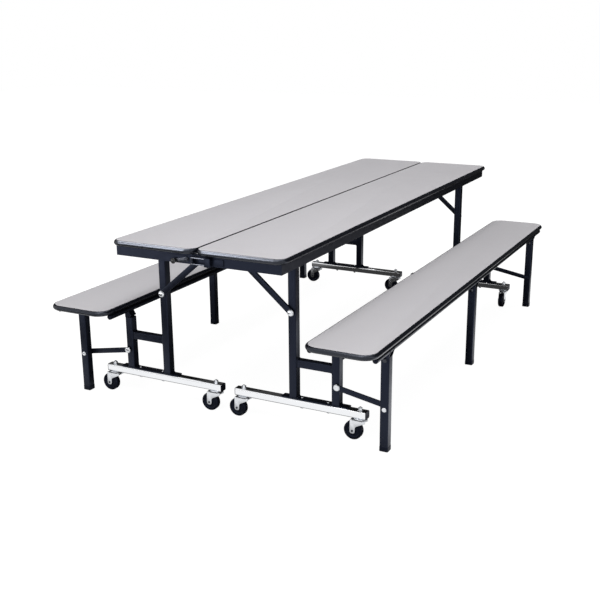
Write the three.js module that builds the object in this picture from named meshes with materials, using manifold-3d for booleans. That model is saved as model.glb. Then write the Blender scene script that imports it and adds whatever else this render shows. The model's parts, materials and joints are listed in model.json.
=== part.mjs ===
// Mobile cafeteria table: two mirrored units, each half a table top with its own bench, latched at the seam.
// Millimetres, +Z up. The origin is on the floor under the middle of the seam, +Y runs along the table.
import * as THREE from "three";
import { mergeVertices } from "three/addons/utils/BufferGeometryUtils.js";
import Module from "manifold-3d";

const wasm = await Module();
wasm.setup();

// Fits shared by every piece
const SEAT_GAP = 0.3;
const RUN_GAP = 0.4;
const PIN_CLEAR = 0.6;
const WELD = 1;
const PIN_R = 4;
const HEAD_R = 8;
const STUD_HEAD_R = 12;
const HEAD_T = 3.5;

// Half table top
const LENGTH = 2438.4;
const TOP_HEIGHT = 737;
const TOP_HALF = 381;
const TOP_THICK = 22;
const TOP_CORNER = 45;
const SEAM_GAP = 3;
const EDGE_BAND = 10;
const EDGE_NOSE = 7;

// Apron of bent angle steel
const APRON_INSET = 19.2;
const APRON_DEPTH = 38;
const APRON_WALL = 3;
const APRON_FLANGE = 20;
const APRON_START = 8;

// End frame
const FRAME_SET_IN = 233.2;
const POST_WIDE = 33;
const POST_DEEP = 36;
const POST_ROUND = 4;
const TALL_SET_IN = 84.5;
const SHORT_X = 480;
const SHORT_TOP = 350;
const BAR_LOW = 256;
const BAR_TALL = 32;
const BAR_DEEP = 30;
const FOOT_PLATE = 4.7;
const FOOT_PAST = 36;
const GUSSET = 14;
const GUSSET_T = 6;

// Base tube and its caster stems
const BASE_LOW = 92;
const BASE_TALL = 31;
const BASE_START = 32;
const BASE_END = 607;
const BASE_ROUND = 5;
const STEM_INNER = 66;
const STEM_OUTER = 577;
const STEM_R = 5;
const STEM_NUT_R = 10;
const STEM_NUT_T = 8;
const STEM_RIVET_R = 7.5;
const STEM_RIVET_T = 3;

// Caster
const WHEEL_R = 38;
const WHEEL_WIDE = 24;
const TRAIL = 27;
const FORK_GAP = 1.5;
const FORK_PLATE = 3;
const FORK_TOP = 4.5;
const FORK_BACK = 37;
const FORK_FRONT = 25;
const FORK_SKIRT = 4.5;
const FORK_BOSS = 11;
const FORK_LEG = 17;
const RACE_R = 26;
const RACE_T = 7.5;
const AXLE_R = 4;
const AXLE_NUT_R = 6.5;
const AXLE_NUT_T = 3.5;
const HUB_R = 13;
const TREAD_WALL = 9;
const TREAD_ROUND = 4;
const WEB_SINK = 3.5;
const HUB_SINK = 1;

// Tilt hinge, brace and slotted plate under the top
const TILT_OUT = 2.5;
const TILT_DROP = 25;
const TILT_RANGE = 70;
const TALL_RISE = 5;
const EAR_R = 9;
const EAR_T = 6;
const BRACE_DROP = 212;
const BRACE_PIN_X = 36;
const BRACE_PIN_DROP = 15;
const BRACE_T = 10;
const BRACE_HALF = 12;
const PLATE_T = 4;
const PLATE_RIM = 8;
const PLATE_FLANGE = 20;
const SLOT_STEPS = 18;

// Bench
const BENCH_HEIGHT = 432;
const BENCH_THICK = 22;
const BENCH_START = 438.5;
const BENCH_WIDE = 286.5;
const BENCH_CORNER = 60;
const RAIL_R = 10.5;
const RAIL_SHORT = 59;
const RAIL_INSET = 12;
const RAIL_OUTSET = 17;
const HINGE_X = 488;
const HINGE_DROP = 9;
const HINGE_EYE = 8.5;
const ARM_T = 7;
const ARM_HALF = 7;
const ARM_BULGE = 29;
const ARM_ROOT = 50;
const LUG_T = 4;

// Legs and links
const LEG_X = 697;
const LEG_SIZE = 34;
const LEG_ROUND = 4;
const LEG_PIVOT_Z = 363;
const LEG_RISE = 12;
const BRACKET_T = 3;
const BRACKET_R = 12;
const LINK_Z = 206;
const LINK_T = 6;
const LINK_HALF = 11;

// Latch across the seam
const LATCH_DROP = 43;
const LATCH_PLATE = 3;
const LATCH_TALL = 26;
const LATCH_PAST = 50;
const LOOP_REACH = 12;
const LOOP_RISE = 12;
const LOOP_ROD_R = 2.25;
const LOOP_BAR_OUT = 10;
const LOOP_ROD_OUT = 16;
const BLOCK_START = 47;
const BLOCK_WIDE = 26;
const BLOCK_TALL = 36;
const BLOCK_DROP = 2;
const LIP_GAP = 2.5;
const LIP_T = 3;
const EYE_X = 36;
const KEEPER_PAST = 84;
const EYE_R = 9.5;
const LEVER_T = 3.2;
const LEVER_HALF = 6.5;
const LEVER_REACH = 55;
const LEVER_SLOPE = 9;
const KNOB_R = 11.5;
const KNOB_T = 11.4;
const KNOB_NECK_R = 5.75;
const KNOB_NECK_T = 2.85;

// Heights and places that follow from the sizes above
const HALF_LENGTH = LENGTH / 2;
const TOP_UNDER = TOP_HEIGHT - TOP_THICK;
const BENCH_UNDER = BENCH_HEIGHT - BENCH_THICK;
const BASE_HIGH = BASE_LOW + BASE_TALL;
const FRAME_Y = HALF_LENGTH - FRAME_SET_IN;
const FRAME_OUT = FRAME_Y + POST_DEEP / 2;
const FRAME_IN = FRAME_Y - POST_DEEP / 2;
const FRAME_LOW = BASE_HIGH + SEAT_GAP;
const TALL_X = TOP_HALF - TALL_SET_IN;
const TILT = new THREE.Vector2(TALL_X + POST_WIDE / 2 + TILT_OUT, TOP_UNDER - TILT_DROP);
const BRACE_FOOT = new THREE.Vector2(TALL_X, TILT.y - BRACE_DROP);
const BRACE_PIN = new THREE.Vector2(BRACE_PIN_X, TOP_UNDER - BRACE_PIN_DROP);
const HINGE = new THREE.Vector2(HINGE_X, BENCH_UNDER - HINGE_DROP);
const LEG_PIVOT = new THREE.Vector2(LEG_X, LEG_PIVOT_Z);
const LINK_FOOT = new THREE.Vector2(HINGE_X, LINK_Z);
const LINK_HEAD = LINK_FOOT.clone().add(LEG_PIVOT).sub(HINGE);
const LINK_Y = FRAME_OUT + RUN_GAP;
const END_LEG_Y = LINK_Y + LINK_T + RUN_GAP + LEG_SIZE / 2;
const BRACE_Y = FRAME_OUT + RUN_GAP;
const PLATE_Y = BRACE_Y + BRACE_T + RUN_GAP;
const RAIL_Z = BENCH_UNDER - SEAT_GAP - RAIL_R;
const APRON_FACE = HALF_LENGTH - APRON_INSET;
const LATCH_Z = TOP_HEIGHT - LATCH_DROP;
const LATCH_FRONT = APRON_FACE + SEAT_GAP + LATCH_PLATE;
const KNOB_PLACE = new THREE.Vector2(EYE_X + LEVER_REACH, LATCH_Z - LEVER_SLOPE);

const HOLE_R = PIN_R + PIN_CLEAR;
const PIN_STEPS = 8;
const HEX = 6;
const EYE_STEPS = 10;
const BEND_STEPS = 4;
const CORNER_STEPS = 2;
const WHEEL_STEPS = 16;

// Solids from closed geometry, and back
function solid(geometry) {
  const bare = geometry.clone();
  bare.deleteAttribute("normal");
  bare.deleteAttribute("uv");
  const merged = mergeVertices(bare, 1e-4);
  const vertProperties = new Float32Array(merged.attributes.position.array);
  const triVerts = new Uint32Array(merged.index.array);
  return new wasm.Manifold(new wasm.Mesh({ numProp: 3, vertProperties, triVerts }));
}

function geometryOf(manifold) {
  const mesh = manifold.getMesh();
  const geometry = new THREE.BufferGeometry();
  geometry.setAttribute("position", new THREE.BufferAttribute(new Float32Array(mesh.vertProperties), 3));
  geometry.setIndex(new THREE.BufferAttribute(new Uint32Array(mesh.triVerts), 1));
  return geometry;
}

function joined(parts, holes = []) {
  let body = solid(parts[0]);
  for (const part of parts.slice(1)) {
    body = body.add(solid(part));
  }
  for (const hole of holes) {
    body = body.subtract(solid(hole));
  }
  return geometryOf(body);
}

// Plain forms, each placed in the frame of the right unit's far end, where outboard is +Y
function box(x0, x1, y0, y1, z0, z1) {
  const geometry = new THREE.BoxGeometry(x1 - x0, y1 - y0, z1 - z0);
  return geometry.translate((x0 + x1) / 2, (y0 + y1) / 2, (z0 + z1) / 2);
}

function rodX(y, z, radius, x0, x1) {
  const geometry = new THREE.CylinderGeometry(radius, radius, x1 - x0, PIN_STEPS);
  return geometry.rotateZ(Math.PI / 2).translate((x0 + x1) / 2, y, z);
}

function rodY(place, radius, y0, y1, steps = PIN_STEPS) {
  const geometry = new THREE.CylinderGeometry(radius, radius, y1 - y0, steps);
  return geometry.translate(place.x, (y0 + y1) / 2, place.y);
}

function rodZ(x, y, radius, z0, z1, steps = PIN_STEPS) {
  const geometry = new THREE.CylinderGeometry(radius, radius, z1 - z0, steps);
  return geometry.rotateX(Math.PI / 2).translate(x, y, (z0 + z1) / 2);
}

// A flat shape drawn in X and Z, given its thickness from y0 to y1
function slab(shape, y0, y1) {
  const geometry = new THREE.ExtrudeGeometry(shape, {
    depth: y1 - y0,
    bevelEnabled: false,
    curveSegments: BEND_STEPS,
  });
  return geometry.rotateX(Math.PI / 2).translate(0, y1, 0);
}

function outline(points) {
  return new THREE.Shape(points.map(([x, z]) => new THREE.Vector2(x, z)));
}

function roundedRectangle(x0, x1, y0, y1, radius) {
  const shape = new THREE.Shape();
  shape.absarc(x1 - radius, y0 + radius, radius, -Math.PI / 2, 0);
  shape.absarc(x1 - radius, y1 - radius, radius, 0, Math.PI / 2);
  shape.absarc(x0 + radius, y1 - radius, radius, Math.PI / 2, Math.PI);
  shape.absarc(x0 + radius, y0 + radius, radius, Math.PI, 1.5 * Math.PI);
  return shape;
}

// A straight tube section standing along Z
function post(x0, x1, y0, y1, z0, z1, radius) {
  const shape = roundedRectangle(x0, x1, y0, y1, radius);
  const geometry = new THREE.ExtrudeGeometry(shape, {
    depth: z1 - z0,
    bevelEnabled: false,
    curveSegments: CORNER_STEPS,
  });
  return geometry.translate(0, 0, z0);
}

// A bar with round ends about two points
function capsule(from, to, radius) {
  const along = Math.atan2(to.y - from.y, to.x - from.x);
  const shape = new THREE.Shape();
  shape.absarc(from.x, from.y, radius, along + Math.PI / 2, along + 1.5 * Math.PI);
  shape.absarc(to.x, to.y, radius, along - Math.PI / 2, along + Math.PI / 2);
  return shape;
}

// The same piece on another corner of the table
function mirrored(geometry, sideX, sideY) {
  const copy = geometry.clone().scale(sideX, sideY, 1);
  if (sideX * sideY > 0) return copy;
  const flat = copy.index ? copy.toNonIndexed() : copy;
  const place = flat.attributes.position;
  for (let corner = 0; corner < place.count; corner += 3) {
    const second = new THREE.Vector3().fromBufferAttribute(place, corner + 1);
    const third = new THREE.Vector3().fromBufferAttribute(place, corner + 2);
    place.setXYZ(corner + 1, third.x, third.y, third.z);
    place.setXYZ(corner + 2, second.x, second.y, second.z);
  }
  return flat;
}

// A laminate board with its bull-nosed edge, as a pair of pieces
function board(x0, x1, under, thick, corner) {
  const low = -HALF_LENGTH;
  const nosed = roundedRectangle(
    x0 + EDGE_NOSE, x1 - EDGE_NOSE, low + EDGE_NOSE, HALF_LENGTH - EDGE_NOSE, corner - EDGE_NOSE,
  );
  const nose = new THREE.ExtrudeGeometry(nosed, {
    depth: thick - 2 * EDGE_NOSE,
    bevelThickness: EDGE_NOSE,
    bevelSize: EDGE_NOSE,
    bevelSegments: CORNER_STEPS,
    curveSegments: BEND_STEPS,
  });
  nose.translate(0, 0, under + EDGE_NOSE);
  const inner = roundedRectangle(
    x0 + EDGE_BAND, x1 - EDGE_BAND, low + EDGE_BAND, HALF_LENGTH - EDGE_BAND, corner - EDGE_BAND,
  );
  const room = new THREE.ExtrudeGeometry(inner, {
    depth: thick + 2 * WELD,
    bevelEnabled: false,
    curveSegments: BEND_STEPS,
  });
  room.translate(0, 0, under - WELD);
  const fitted = EDGE_BAND + SEAT_GAP;
  const face = roundedRectangle(
    x0 + fitted, x1 - fitted, low + fitted, HALF_LENGTH - fitted, corner - fitted,
  );
  const core = new THREE.ExtrudeGeometry(face, {
    depth: thick,
    bevelEnabled: false,
    curveSegments: BEND_STEPS,
  });
  core.translate(0, 0, under);
  return { core, edge: joined([nose], [room]) };
}

// One leg of the apron's angle: a flat strip round the long side and both ends, open towards the seam
function apronStrip(inset, wide, z0, z1) {
  const start = APRON_START + inset;
  const outer = TOP_HALF - APRON_INSET - inset;
  const end = APRON_FACE - inset;
  const shape = outline([
    [start, -end],
    [outer, -end],
    [outer, end],
    [start, end],
    [start, end - wide],
    [outer - wide, end - wide],
    [outer - wide, wide - end],
    [start, wide - end],
  ]);
  return new THREE.ExtrudeGeometry(shape, { depth: z1 - z0, bevelEnabled: false }).translate(0, 0, z0);
}

function apron() {
  const high = TOP_UNDER - SEAT_GAP;
  return joined([
    apronStrip(0, APRON_WALL, high - APRON_DEPTH, high),
    apronStrip(WELD, APRON_FLANGE - WELD, high - APRON_WALL, high),
  ]);
}

// The brace's turn for each degree of tilt, so that its pin ends as far under the top as it began
function braceRatio() {
  const centre = new THREE.Vector2();
  const tilt = THREE.MathUtils.degToRad(TILT_RANGE);
  const arm = BRACE_PIN.clone().sub(BRACE_FOOT);
  const foot = BRACE_FOOT.clone().sub(TILT).rotateAround(centre, tilt);
  const rise = BRACE_PIN.y - TILT.y - foot.y;
  const turn = Math.PI - Math.asin(rise / arm.length()) - arm.angle();
  return 1 - turn / tilt;
}

// The brace's upper pin as the top sees it while both turn
function pinSeenFromTop(share) {
  const tilt = THREE.MathUtils.degToRad(TILT_RANGE * share);
  const centre = new THREE.Vector2();
  const pin = BRACE_PIN.clone().rotateAround(BRACE_FOOT, -braceRatio() * tilt);
  return pin.sub(TILT).rotateAround(centre, tilt).add(TILT);
}

function pinPath() {
  return Array.from({ length: SLOT_STEPS + 1 }, (_, step) => pinSeenFromTop(step / SLOT_STEPS));
}

// The pin's path moved sideways, upwards for a positive distance
function besidePath(distance) {
  const curve = new THREE.SplineCurve(pinPath());
  return Array.from({ length: SLOT_STEPS + 1 }, (_, step) => {
    const along = curve.getTangent(step / SLOT_STEPS);
    const side = new THREE.Vector2(-along.y, along.x).multiplyScalar(distance);
    return curve.getPoint(step / SLOT_STEPS).add(side);
  });
}

function slotShape(half) {
  return new THREE.Shape([...besidePath(half), ...besidePath(-half).reverse()]);
}

// Plate that hangs from the top: a rim round the slot, then a strip to the tilt hinge
function pivotPlate() {
  const high = TOP_UNDER - SEAT_GAP;
  const slotHalf = HOLE_R;
  const rim = slotHalf + PLATE_RIM;
  const path = pinPath();
  const seamEnd = path[0].x - rim;
  const hingeEnd = TILT.x + EAR_R;
  const shape = new THREE.Shape([
    new THREE.Vector2(hingeEnd, high),
    new THREE.Vector2(seamEnd, high),
    new THREE.Vector2(seamEnd, path[0].y),
    ...besidePath(-rim),
    new THREE.Vector2(hingeEnd, TILT.y - EAR_R),
  ]);
  const outer = PLATE_Y + PLATE_T;
  const parts = [
    slab(shape, PLATE_Y, outer),
    box(seamEnd, hingeEnd, PLATE_Y, PLATE_Y + PLATE_FLANGE, high - PLATE_T, high),
    rodY(TILT, PIN_R, FRAME_OUT - EAR_T + SEAT_GAP, PLATE_Y + WELD),
  ];
  const holes = [slab(slotShape(slotHalf), PLATE_Y - WELD, outer + WELD)];
  for (const end of [path[0], path[SLOT_STEPS]]) {
    holes.push(rodY(end, slotHalf, PLATE_Y - WELD, outer + WELD, EYE_STEPS));
  }
  return joined(parts, holes);
}

function brace() {
  const outer = BRACE_Y + BRACE_T;
  const head = PLATE_Y + PLATE_T + RUN_GAP;
  const parts = [
    slab(capsule(BRACE_FOOT, BRACE_PIN, BRACE_HALF), BRACE_Y, outer),
    rodY(BRACE_PIN, PIN_R, outer - WELD, head + WELD),
    rodY(BRACE_PIN, HEAD_R, head, head + HEAD_T, HEX),
  ];
  return joined(parts, [rodY(BRACE_FOOT, HOLE_R, BRACE_Y - WELD, outer + WELD)]);
}

function tallUpright() {
  const high = TILT.y + TALL_RISE;
  const left = TALL_X - POST_WIDE / 2;
  const right = TALL_X + POST_WIDE / 2;
  const head = BRACE_Y + BRACE_T + RUN_GAP;
  return [
    post(left, right, FRAME_IN, FRAME_OUT, FRAME_LOW, high, POST_ROUND),
    slab(capsule(new THREE.Vector2(TALL_X, TILT.y), TILT, EAR_R), FRAME_OUT - EAR_T, FRAME_OUT),
    rodY(BRACE_FOOT, PIN_R, FRAME_OUT - WELD, head + WELD),
    rodY(BRACE_FOOT, STUD_HEAD_R, head, head + HEAD_T, HEX),
  ];
}

// The bench hinge's arm goes round the path of the inner rail as the bench folds up
function hingeArm() {
  const out = HINGE.x + ARM_BULGE;
  const bend = new THREE.Vector2(out, HINGE.y - ARM_BULGE);
  const root = new THREE.Vector2(SHORT_X, SHORT_TOP - ARM_ROOT);
  const turn = new THREE.Vector2(out, root.y + out - root.x);
  const inner = FRAME_IN + WELD - ARM_T;
  const outer = FRAME_IN + WELD;
  return [
    slab(capsule(HINGE, bend, ARM_HALF), inner, outer),
    rodY(HINGE, HINGE_EYE, inner, outer, EYE_STEPS),
    slab(capsule(bend, turn, ARM_HALF), inner, outer),
    slab(capsule(turn, root, ARM_HALF), inner, outer),
  ];
}

function shortUpright() {
  const left = SHORT_X - POST_WIDE / 2;
  const right = SHORT_X + POST_WIDE / 2;
  const head = LINK_Y + LINK_T + RUN_GAP;
  return [
    post(left, right, FRAME_IN, FRAME_OUT, FRAME_LOW, SHORT_TOP, POST_ROUND),
    rodY(LINK_FOOT, PIN_R, FRAME_OUT - WELD, head + WELD),
    rodY(LINK_FOOT, STUD_HEAD_R, head, head + HEAD_T, HEX),
  ];
}

function gusset(face, way) {
  const high = FRAME_LOW + FOOT_PLATE;
  const shape = outline([
    [face - way * WELD, high - WELD],
    [face + way * GUSSET, high - WELD],
    [face + way * GUSSET, high],
    [face, high + GUSSET],
    [face - way * WELD, high + GUSSET],
  ]);
  return slab(shape, FRAME_Y - GUSSET_T / 2, FRAME_Y + GUSSET_T / 2);
}

function endFrame() {
  const tallIn = TALL_X - POST_WIDE / 2;
  const shortOut = SHORT_X + POST_WIDE / 2;
  const barIn = FRAME_Y - BAR_DEEP / 2;
  const barOut = FRAME_Y + BAR_DEEP / 2;
  const parts = [
    ...tallUpright(),
    ...shortUpright(),
    ...hingeArm(),
    box(TALL_X, SHORT_X, barIn, barOut, BAR_LOW, BAR_LOW + BAR_TALL),
    box(tallIn - FOOT_PAST, shortOut + FOOT_PAST, FRAME_IN, FRAME_OUT, FRAME_LOW, FRAME_LOW + FOOT_PLATE),
    gusset(tallIn, -1),
    gusset(shortOut, 1),
  ];
  const armIn = FRAME_IN - ARM_T;
  const holes = [
    rodY(TILT, HOLE_R, FRAME_OUT - EAR_T - SEAT_GAP, FRAME_OUT + WELD),
    rodY(HINGE, HOLE_R, armIn - WELD, FRAME_IN + 2 * WELD),
  ];
  return joined(parts, holes);
}

function baseTube() {
  const section = roundedRectangle(FRAME_IN, FRAME_OUT, BASE_LOW, BASE_HIGH, BASE_ROUND);
  const tube = new THREE.ExtrudeGeometry(section, {
    depth: BASE_END - BASE_START,
    bevelEnabled: false,
    curveSegments: CORNER_STEPS,
  });
  tube.applyMatrix4(new THREE.Matrix4().makeBasis(
    new THREE.Vector3(0, 1, 0),
    new THREE.Vector3(0, 0, 1),
    new THREE.Vector3(1, 0, 0),
  ));
  tube.translate(BASE_START, 0, 0);
  const parts = [tube];
  const collar = BASE_LOW - SEAT_GAP - RACE_T - FORK_TOP;
  for (const stem of [STEM_INNER, STEM_OUTER]) {
    parts.push(rodZ(stem, FRAME_Y, STEM_NUT_R, BASE_HIGH - WELD, BASE_HIGH + STEM_NUT_T, HEX));
    parts.push(rodZ(stem, FRAME_Y, STEM_R, collar - SEAT_GAP - WELD, BASE_LOW + WELD));
    parts.push(rodZ(stem, FRAME_Y, STEM_RIVET_R, collar - SEAT_GAP - STEM_RIVET_T, collar - SEAT_GAP));
  }
  return joined(parts);
}

// Caster pieces about their own swivel axis, trailing along -X: two cheeks, each a straight leg under a crown
function casterFork() {
  const raceHigh = BASE_LOW - SEAT_GAP;
  const raceLow = raceHigh - RACE_T;
  const topLow = raceLow - FORK_TOP;
  const axle = new THREE.Vector2(-TRAIL, WHEEL_R);
  const inner = WHEEL_WIDE / 2 + FORK_GAP;
  const outer = inner + FORK_PLATE;
  const cheek = new THREE.Shape();
  cheek.moveTo(FORK_FRONT, raceLow + WELD);
  cheek.lineTo(-FORK_BACK, raceLow + WELD);
  cheek.lineTo(axle.x - FORK_BOSS, axle.y);
  cheek.absarc(axle.x, axle.y, FORK_BOSS, Math.PI, 2 * Math.PI);
  cheek.lineTo(axle.x + FORK_BOSS, axle.y + FORK_LEG);
  cheek.lineTo(FORK_FRONT, topLow - FORK_SKIRT);
  const parts = [
    box(-FORK_BACK, FORK_FRONT, -outer, outer, topLow, raceLow + WELD),
    rodZ(0, 0, RACE_R, raceLow, raceHigh, EYE_STEPS),
    slab(cheek, -outer, -inner),
    slab(cheek, inner, outer),
    rodY(axle, AXLE_R, -outer, outer),
    rodY(axle, AXLE_NUT_R, -outer - AXLE_NUT_T, -outer + WELD, HEX),
    rodY(axle, AXLE_NUT_R, outer - WELD, outer + AXLE_NUT_T, HEX),
  ];
  return joined(parts, [rodZ(0, 0, STEM_R + PIN_CLEAR, topLow - WELD, raceHigh + WELD)]);
}

function casterWheel() {
  const half = WHEEL_WIDE / 2;
  const web = half - WEB_SINK;
  const hub = half - HUB_SINK;
  const bore = AXLE_R + PIN_CLEAR;
  const rim = WHEEL_R - TREAD_WALL;
  const side = [
    [bore, hub],
    [HUB_R, hub],
    [HUB_R, web],
    [rim, web],
    [rim, half],
    [WHEEL_R - TREAD_ROUND, half],
    [WHEEL_R, half - TREAD_ROUND],
  ];
  const profile = [
    ...side.map(([radius, y]) => new THREE.Vector2(radius, -y)),
    ...side.toReversed().map(([radius, y]) => new THREE.Vector2(radius, y)),
  ];
  profile.push(profile[0].clone());
  return new THREE.LatheGeometry(profile, WHEEL_STEPS).translate(-TRAIL, 0, WHEEL_R);
}

function rail(x) {
  const end = HALF_LENGTH - RAIL_SHORT;
  return rodY(new THREE.Vector2(x, RAIL_Z), RAIL_R, -end, end, EYE_STEPS);
}

// Inner rail with the hinge lugs either side of each frame's arm, and a shoe that rests on the short upright
function innerRail() {
  const x = BENCH_START + RAIL_INSET;
  const armOuter = FRAME_IN + WELD;
  const armInner = armOuter - ARM_T;
  const high = BENCH_UNDER - SEAT_GAP;
  const lug = new THREE.Shape();
  lug.moveTo(x, high);
  lug.lineTo(x, HINGE.y - HINGE_EYE);
  lug.absarc(HINGE.x, HINGE.y, HINGE_EYE, -Math.PI / 2, 0);
  lug.lineTo(HINGE.x + HINGE_EYE, high);
  const shoeIn = SHORT_X - POST_WIDE / 2;
  const shoeOut = HINGE.x + HINGE_EYE;
  const shoeR = HINGE.y - SHORT_TOP - SEAT_GAP;
  const shoeTurns = [shoeIn, shoeOut].map((edge) => -Math.acos((edge - HINGE.x) / shoeR));
  const shoe = new THREE.Shape();
  shoe.moveTo(shoeIn, high);
  shoe.absarc(HINGE.x, HINGE.y, shoeR, ...shoeTurns);
  shoe.lineTo(shoeOut, high);
  const parts = [rail(x)];
  for (const end of [-1, 1]) {
    const near = [
      slab(shoe, armOuter + RUN_GAP, FRAME_OUT - SEAT_GAP),
      slab(lug, armInner - RUN_GAP - LUG_T, armInner - RUN_GAP),
      slab(lug, armOuter + RUN_GAP, armOuter + RUN_GAP + LUG_T),
      rodY(HINGE, PIN_R, armInner - RUN_GAP - LUG_T, armOuter + RUN_GAP + LUG_T),
    ];
    parts.push(...near.map((piece) => mirrored(piece, 1, end)));
  }
  return joined(parts);
}

// Outer rail with a pair of bracket plates for each leg
function outerRail() {
  const x = BENCH_START + BENCH_WIDE - RAIL_OUTSET;
  const plate = capsule(LEG_PIVOT, new THREE.Vector2(x, RAIL_Z), BRACKET_R - SEAT_GAP);
  const reach = LEG_SIZE / 2 + RUN_GAP;
  const parts = [rail(x)];
  const holes = [];
  for (const y of [-END_LEG_Y, 0, END_LEG_Y]) {
    for (const side of [-1, 1]) {
      const inner = y + side * reach;
      const outer = y + side * (reach + BRACKET_T);
      parts.push(slab(plate, Math.min(inner, outer), Math.max(inner, outer)));
    }
    const past = reach + BRACKET_T + WELD;
    holes.push(rodY(LEG_PIVOT, HOLE_R, y - past, y - LEG_SIZE / 2));
    holes.push(rodY(LEG_PIVOT, HOLE_R, y + LEG_SIZE / 2, y + past));
  }
  const over = BRACKET_R + RAIL_R;
  const seat = box(x - over, x + over, -HALF_LENGTH, HALF_LENGTH, BENCH_UNDER - SEAT_GAP, BENCH_HEIGHT);
  return joined(parts, [...holes, seat]);
}

function leg(y, linked) {
  const half = LEG_SIZE / 2;
  const pinEnd = half + RUN_GAP + BRACKET_T + RUN_GAP;
  const parts = [
    post(LEG_X - half, LEG_X + half, y - half, y + half, 0, LEG_PIVOT_Z + LEG_RISE, LEG_ROUND),
    rodY(LEG_PIVOT, PIN_R, y - pinEnd - WELD, y + pinEnd + WELD),
    rodY(LEG_PIVOT, HEAD_R, y - pinEnd - HEAD_T, y - pinEnd, HEX),
    rodY(LEG_PIVOT, HEAD_R, y + pinEnd, y + pinEnd + HEAD_T, HEX),
  ];
  if (linked) {
    const linkBack = LINK_Y - RUN_GAP;
    parts.push(rodY(LINK_HEAD, PIN_R, linkBack - WELD, y - half + WELD));
    parts.push(rodY(LINK_HEAD, HEAD_R, linkBack - HEAD_T, linkBack, HEX));
    parts.push(rodY(LINK_HEAD, HEAD_R, y + half - WELD, y + half + HEAD_T, HEX));
  }
  return joined(parts);
}

function link() {
  const outer = LINK_Y + LINK_T;
  const holes = [LINK_FOOT, LINK_HEAD].map((place) => rodY(place, HOLE_R, LINK_Y - WELD, outer + WELD));
  return joined([slab(capsule(LINK_FOOT, LINK_HEAD, LINK_HALF), LINK_Y, outer)], holes);
}

// Latch pieces, each drawn on its own unit's side of the seam
function latchLoop() {
  const barY = APRON_FACE + LOOP_BAR_OUT;
  const rodPlace = APRON_FACE + LOOP_ROD_OUT;
  const blockEnd = BLOCK_START + BLOCK_WIDE;
  const plateEnd = blockEnd + LATCH_PAST;
  const plateHalf = LATCH_TALL / 2;
  const plateBack = APRON_FACE + SEAT_GAP;
  const parts = [
    box(BLOCK_START, plateEnd, plateBack, LATCH_FRONT, LATCH_Z - plateHalf, LATCH_Z + plateHalf),
    box(
      BLOCK_START, blockEnd, plateBack, rodPlace + LOOP_ROD_R,
      LATCH_Z - BLOCK_TALL / 2, LATCH_Z + BLOCK_TALL / 2 - BLOCK_DROP,
    ),
    rodZ(-LOOP_REACH, barY, LOOP_ROD_R, LATCH_Z - LOOP_RISE - LOOP_ROD_R, LATCH_Z + LOOP_RISE + LOOP_ROD_R),
  ];
  for (const side of [-1, 1]) {
    const z = LATCH_Z + side * LOOP_RISE;
    parts.push(rodX(rodPlace, z, LOOP_ROD_R, -LOOP_REACH - LOOP_ROD_R, BLOCK_START + WELD));
    parts.push(rodY(new THREE.Vector2(-LOOP_REACH, z), LOOP_ROD_R, barY, rodPlace));
  }
  return joined(parts);
}

function latchKeeper() {
  const lipEnd = LOOP_REACH - LOOP_ROD_R - LIP_GAP;
  const lipFront = APRON_FACE + LOOP_ROD_OUT - LOOP_ROD_R - RUN_GAP;
  const plateHalf = LATCH_TALL / 2;
  const plateBack = APRON_FACE + SEAT_GAP;
  const low = LATCH_Z - plateHalf;
  const high = LATCH_Z + plateHalf;
  const eye = new THREE.Vector2(EYE_X, LATCH_Z);
  const head = LATCH_FRONT + SEAT_GAP + LEVER_T + SEAT_GAP;
  return joined([
    box(lipEnd - LIP_T, EYE_X + KEEPER_PAST, plateBack, LATCH_FRONT, low, high),
    box(lipEnd - LIP_T, lipEnd, plateBack, lipFront, low, high),
    rodY(eye, PIN_R, LATCH_FRONT - WELD, head + WELD),
    rodY(eye, HEAD_R, head, head + HEAD_T, HEX),
  ]);
}

function latchLever() {
  const inner = LATCH_FRONT + SEAT_GAP;
  const outer = inner + LEVER_T;
  const eye = new THREE.Vector2(EYE_X, LATCH_Z);
  const parts = [
    slab(capsule(eye, KNOB_PLACE, LEVER_HALF), inner, outer),
    rodY(eye, EYE_R, inner, outer, EYE_STEPS),
  ];
  return joined(parts, [rodY(eye, HOLE_R, inner - WELD, outer + WELD)]);
}

function latchKnob() {
  const back = LATCH_FRONT + SEAT_GAP + LEVER_T + SEAT_GAP;
  const profile = new THREE.Path();
  profile.moveTo(0, 0);
  profile.lineTo(KNOB_NECK_R, 0);
  profile.lineTo(KNOB_NECK_R, KNOB_NECK_T);
  profile.quadraticCurveTo(KNOB_R, KNOB_NECK_T, KNOB_R, KNOB_T / 2);
  profile.quadraticCurveTo(KNOB_R, KNOB_T, 0, KNOB_T);
  const geometry = new THREE.LatheGeometry(profile.getPoints(CORNER_STEPS), EYE_STEPS);
  return geometry.translate(KNOB_PLACE.x, back, KNOB_PLACE.y);
}

// Finishes
const FINISH = {
  laminate: { color: 0xc9c7ca, roughness: 0.45, metalness: 0 },
  edging: { color: 0x1b1c20, roughness: 0.4, metalness: 0 },
  enamel: { color: 0x1d1e22, roughness: 0.45, metalness: 0.1 },
  chrome: { color: 0xe4e6ea, roughness: 0.12, metalness: 1 },
  zinc: { color: 0xb8bbc0, roughness: 0.3, metalness: 1 },
  rubber: { color: 0x16181c, roughness: 0.6, metalness: 0 },
  knob: { color: 0x141518, roughness: 0.35, metalness: 0 },
};

function piece(parent, name, geometry, finish) {
  const mesh = new THREE.Mesh(geometry, new THREE.MeshStandardMaterial(FINISH[finish]));
  mesh.name = name;
  parent.add(mesh);
}

const SIDES = [["right", 1], ["left", -1]];
const ENDS = [["near", -1], ["far", 1]];

// Every caster trails along -X but one, which has swung in towards the middle of the table
function casterTurn(side, end, place) {
  const swung = side === "right" && end === "far" && place === "outer";
  return swung ? Math.PI / 2 : 0;
}

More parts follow.
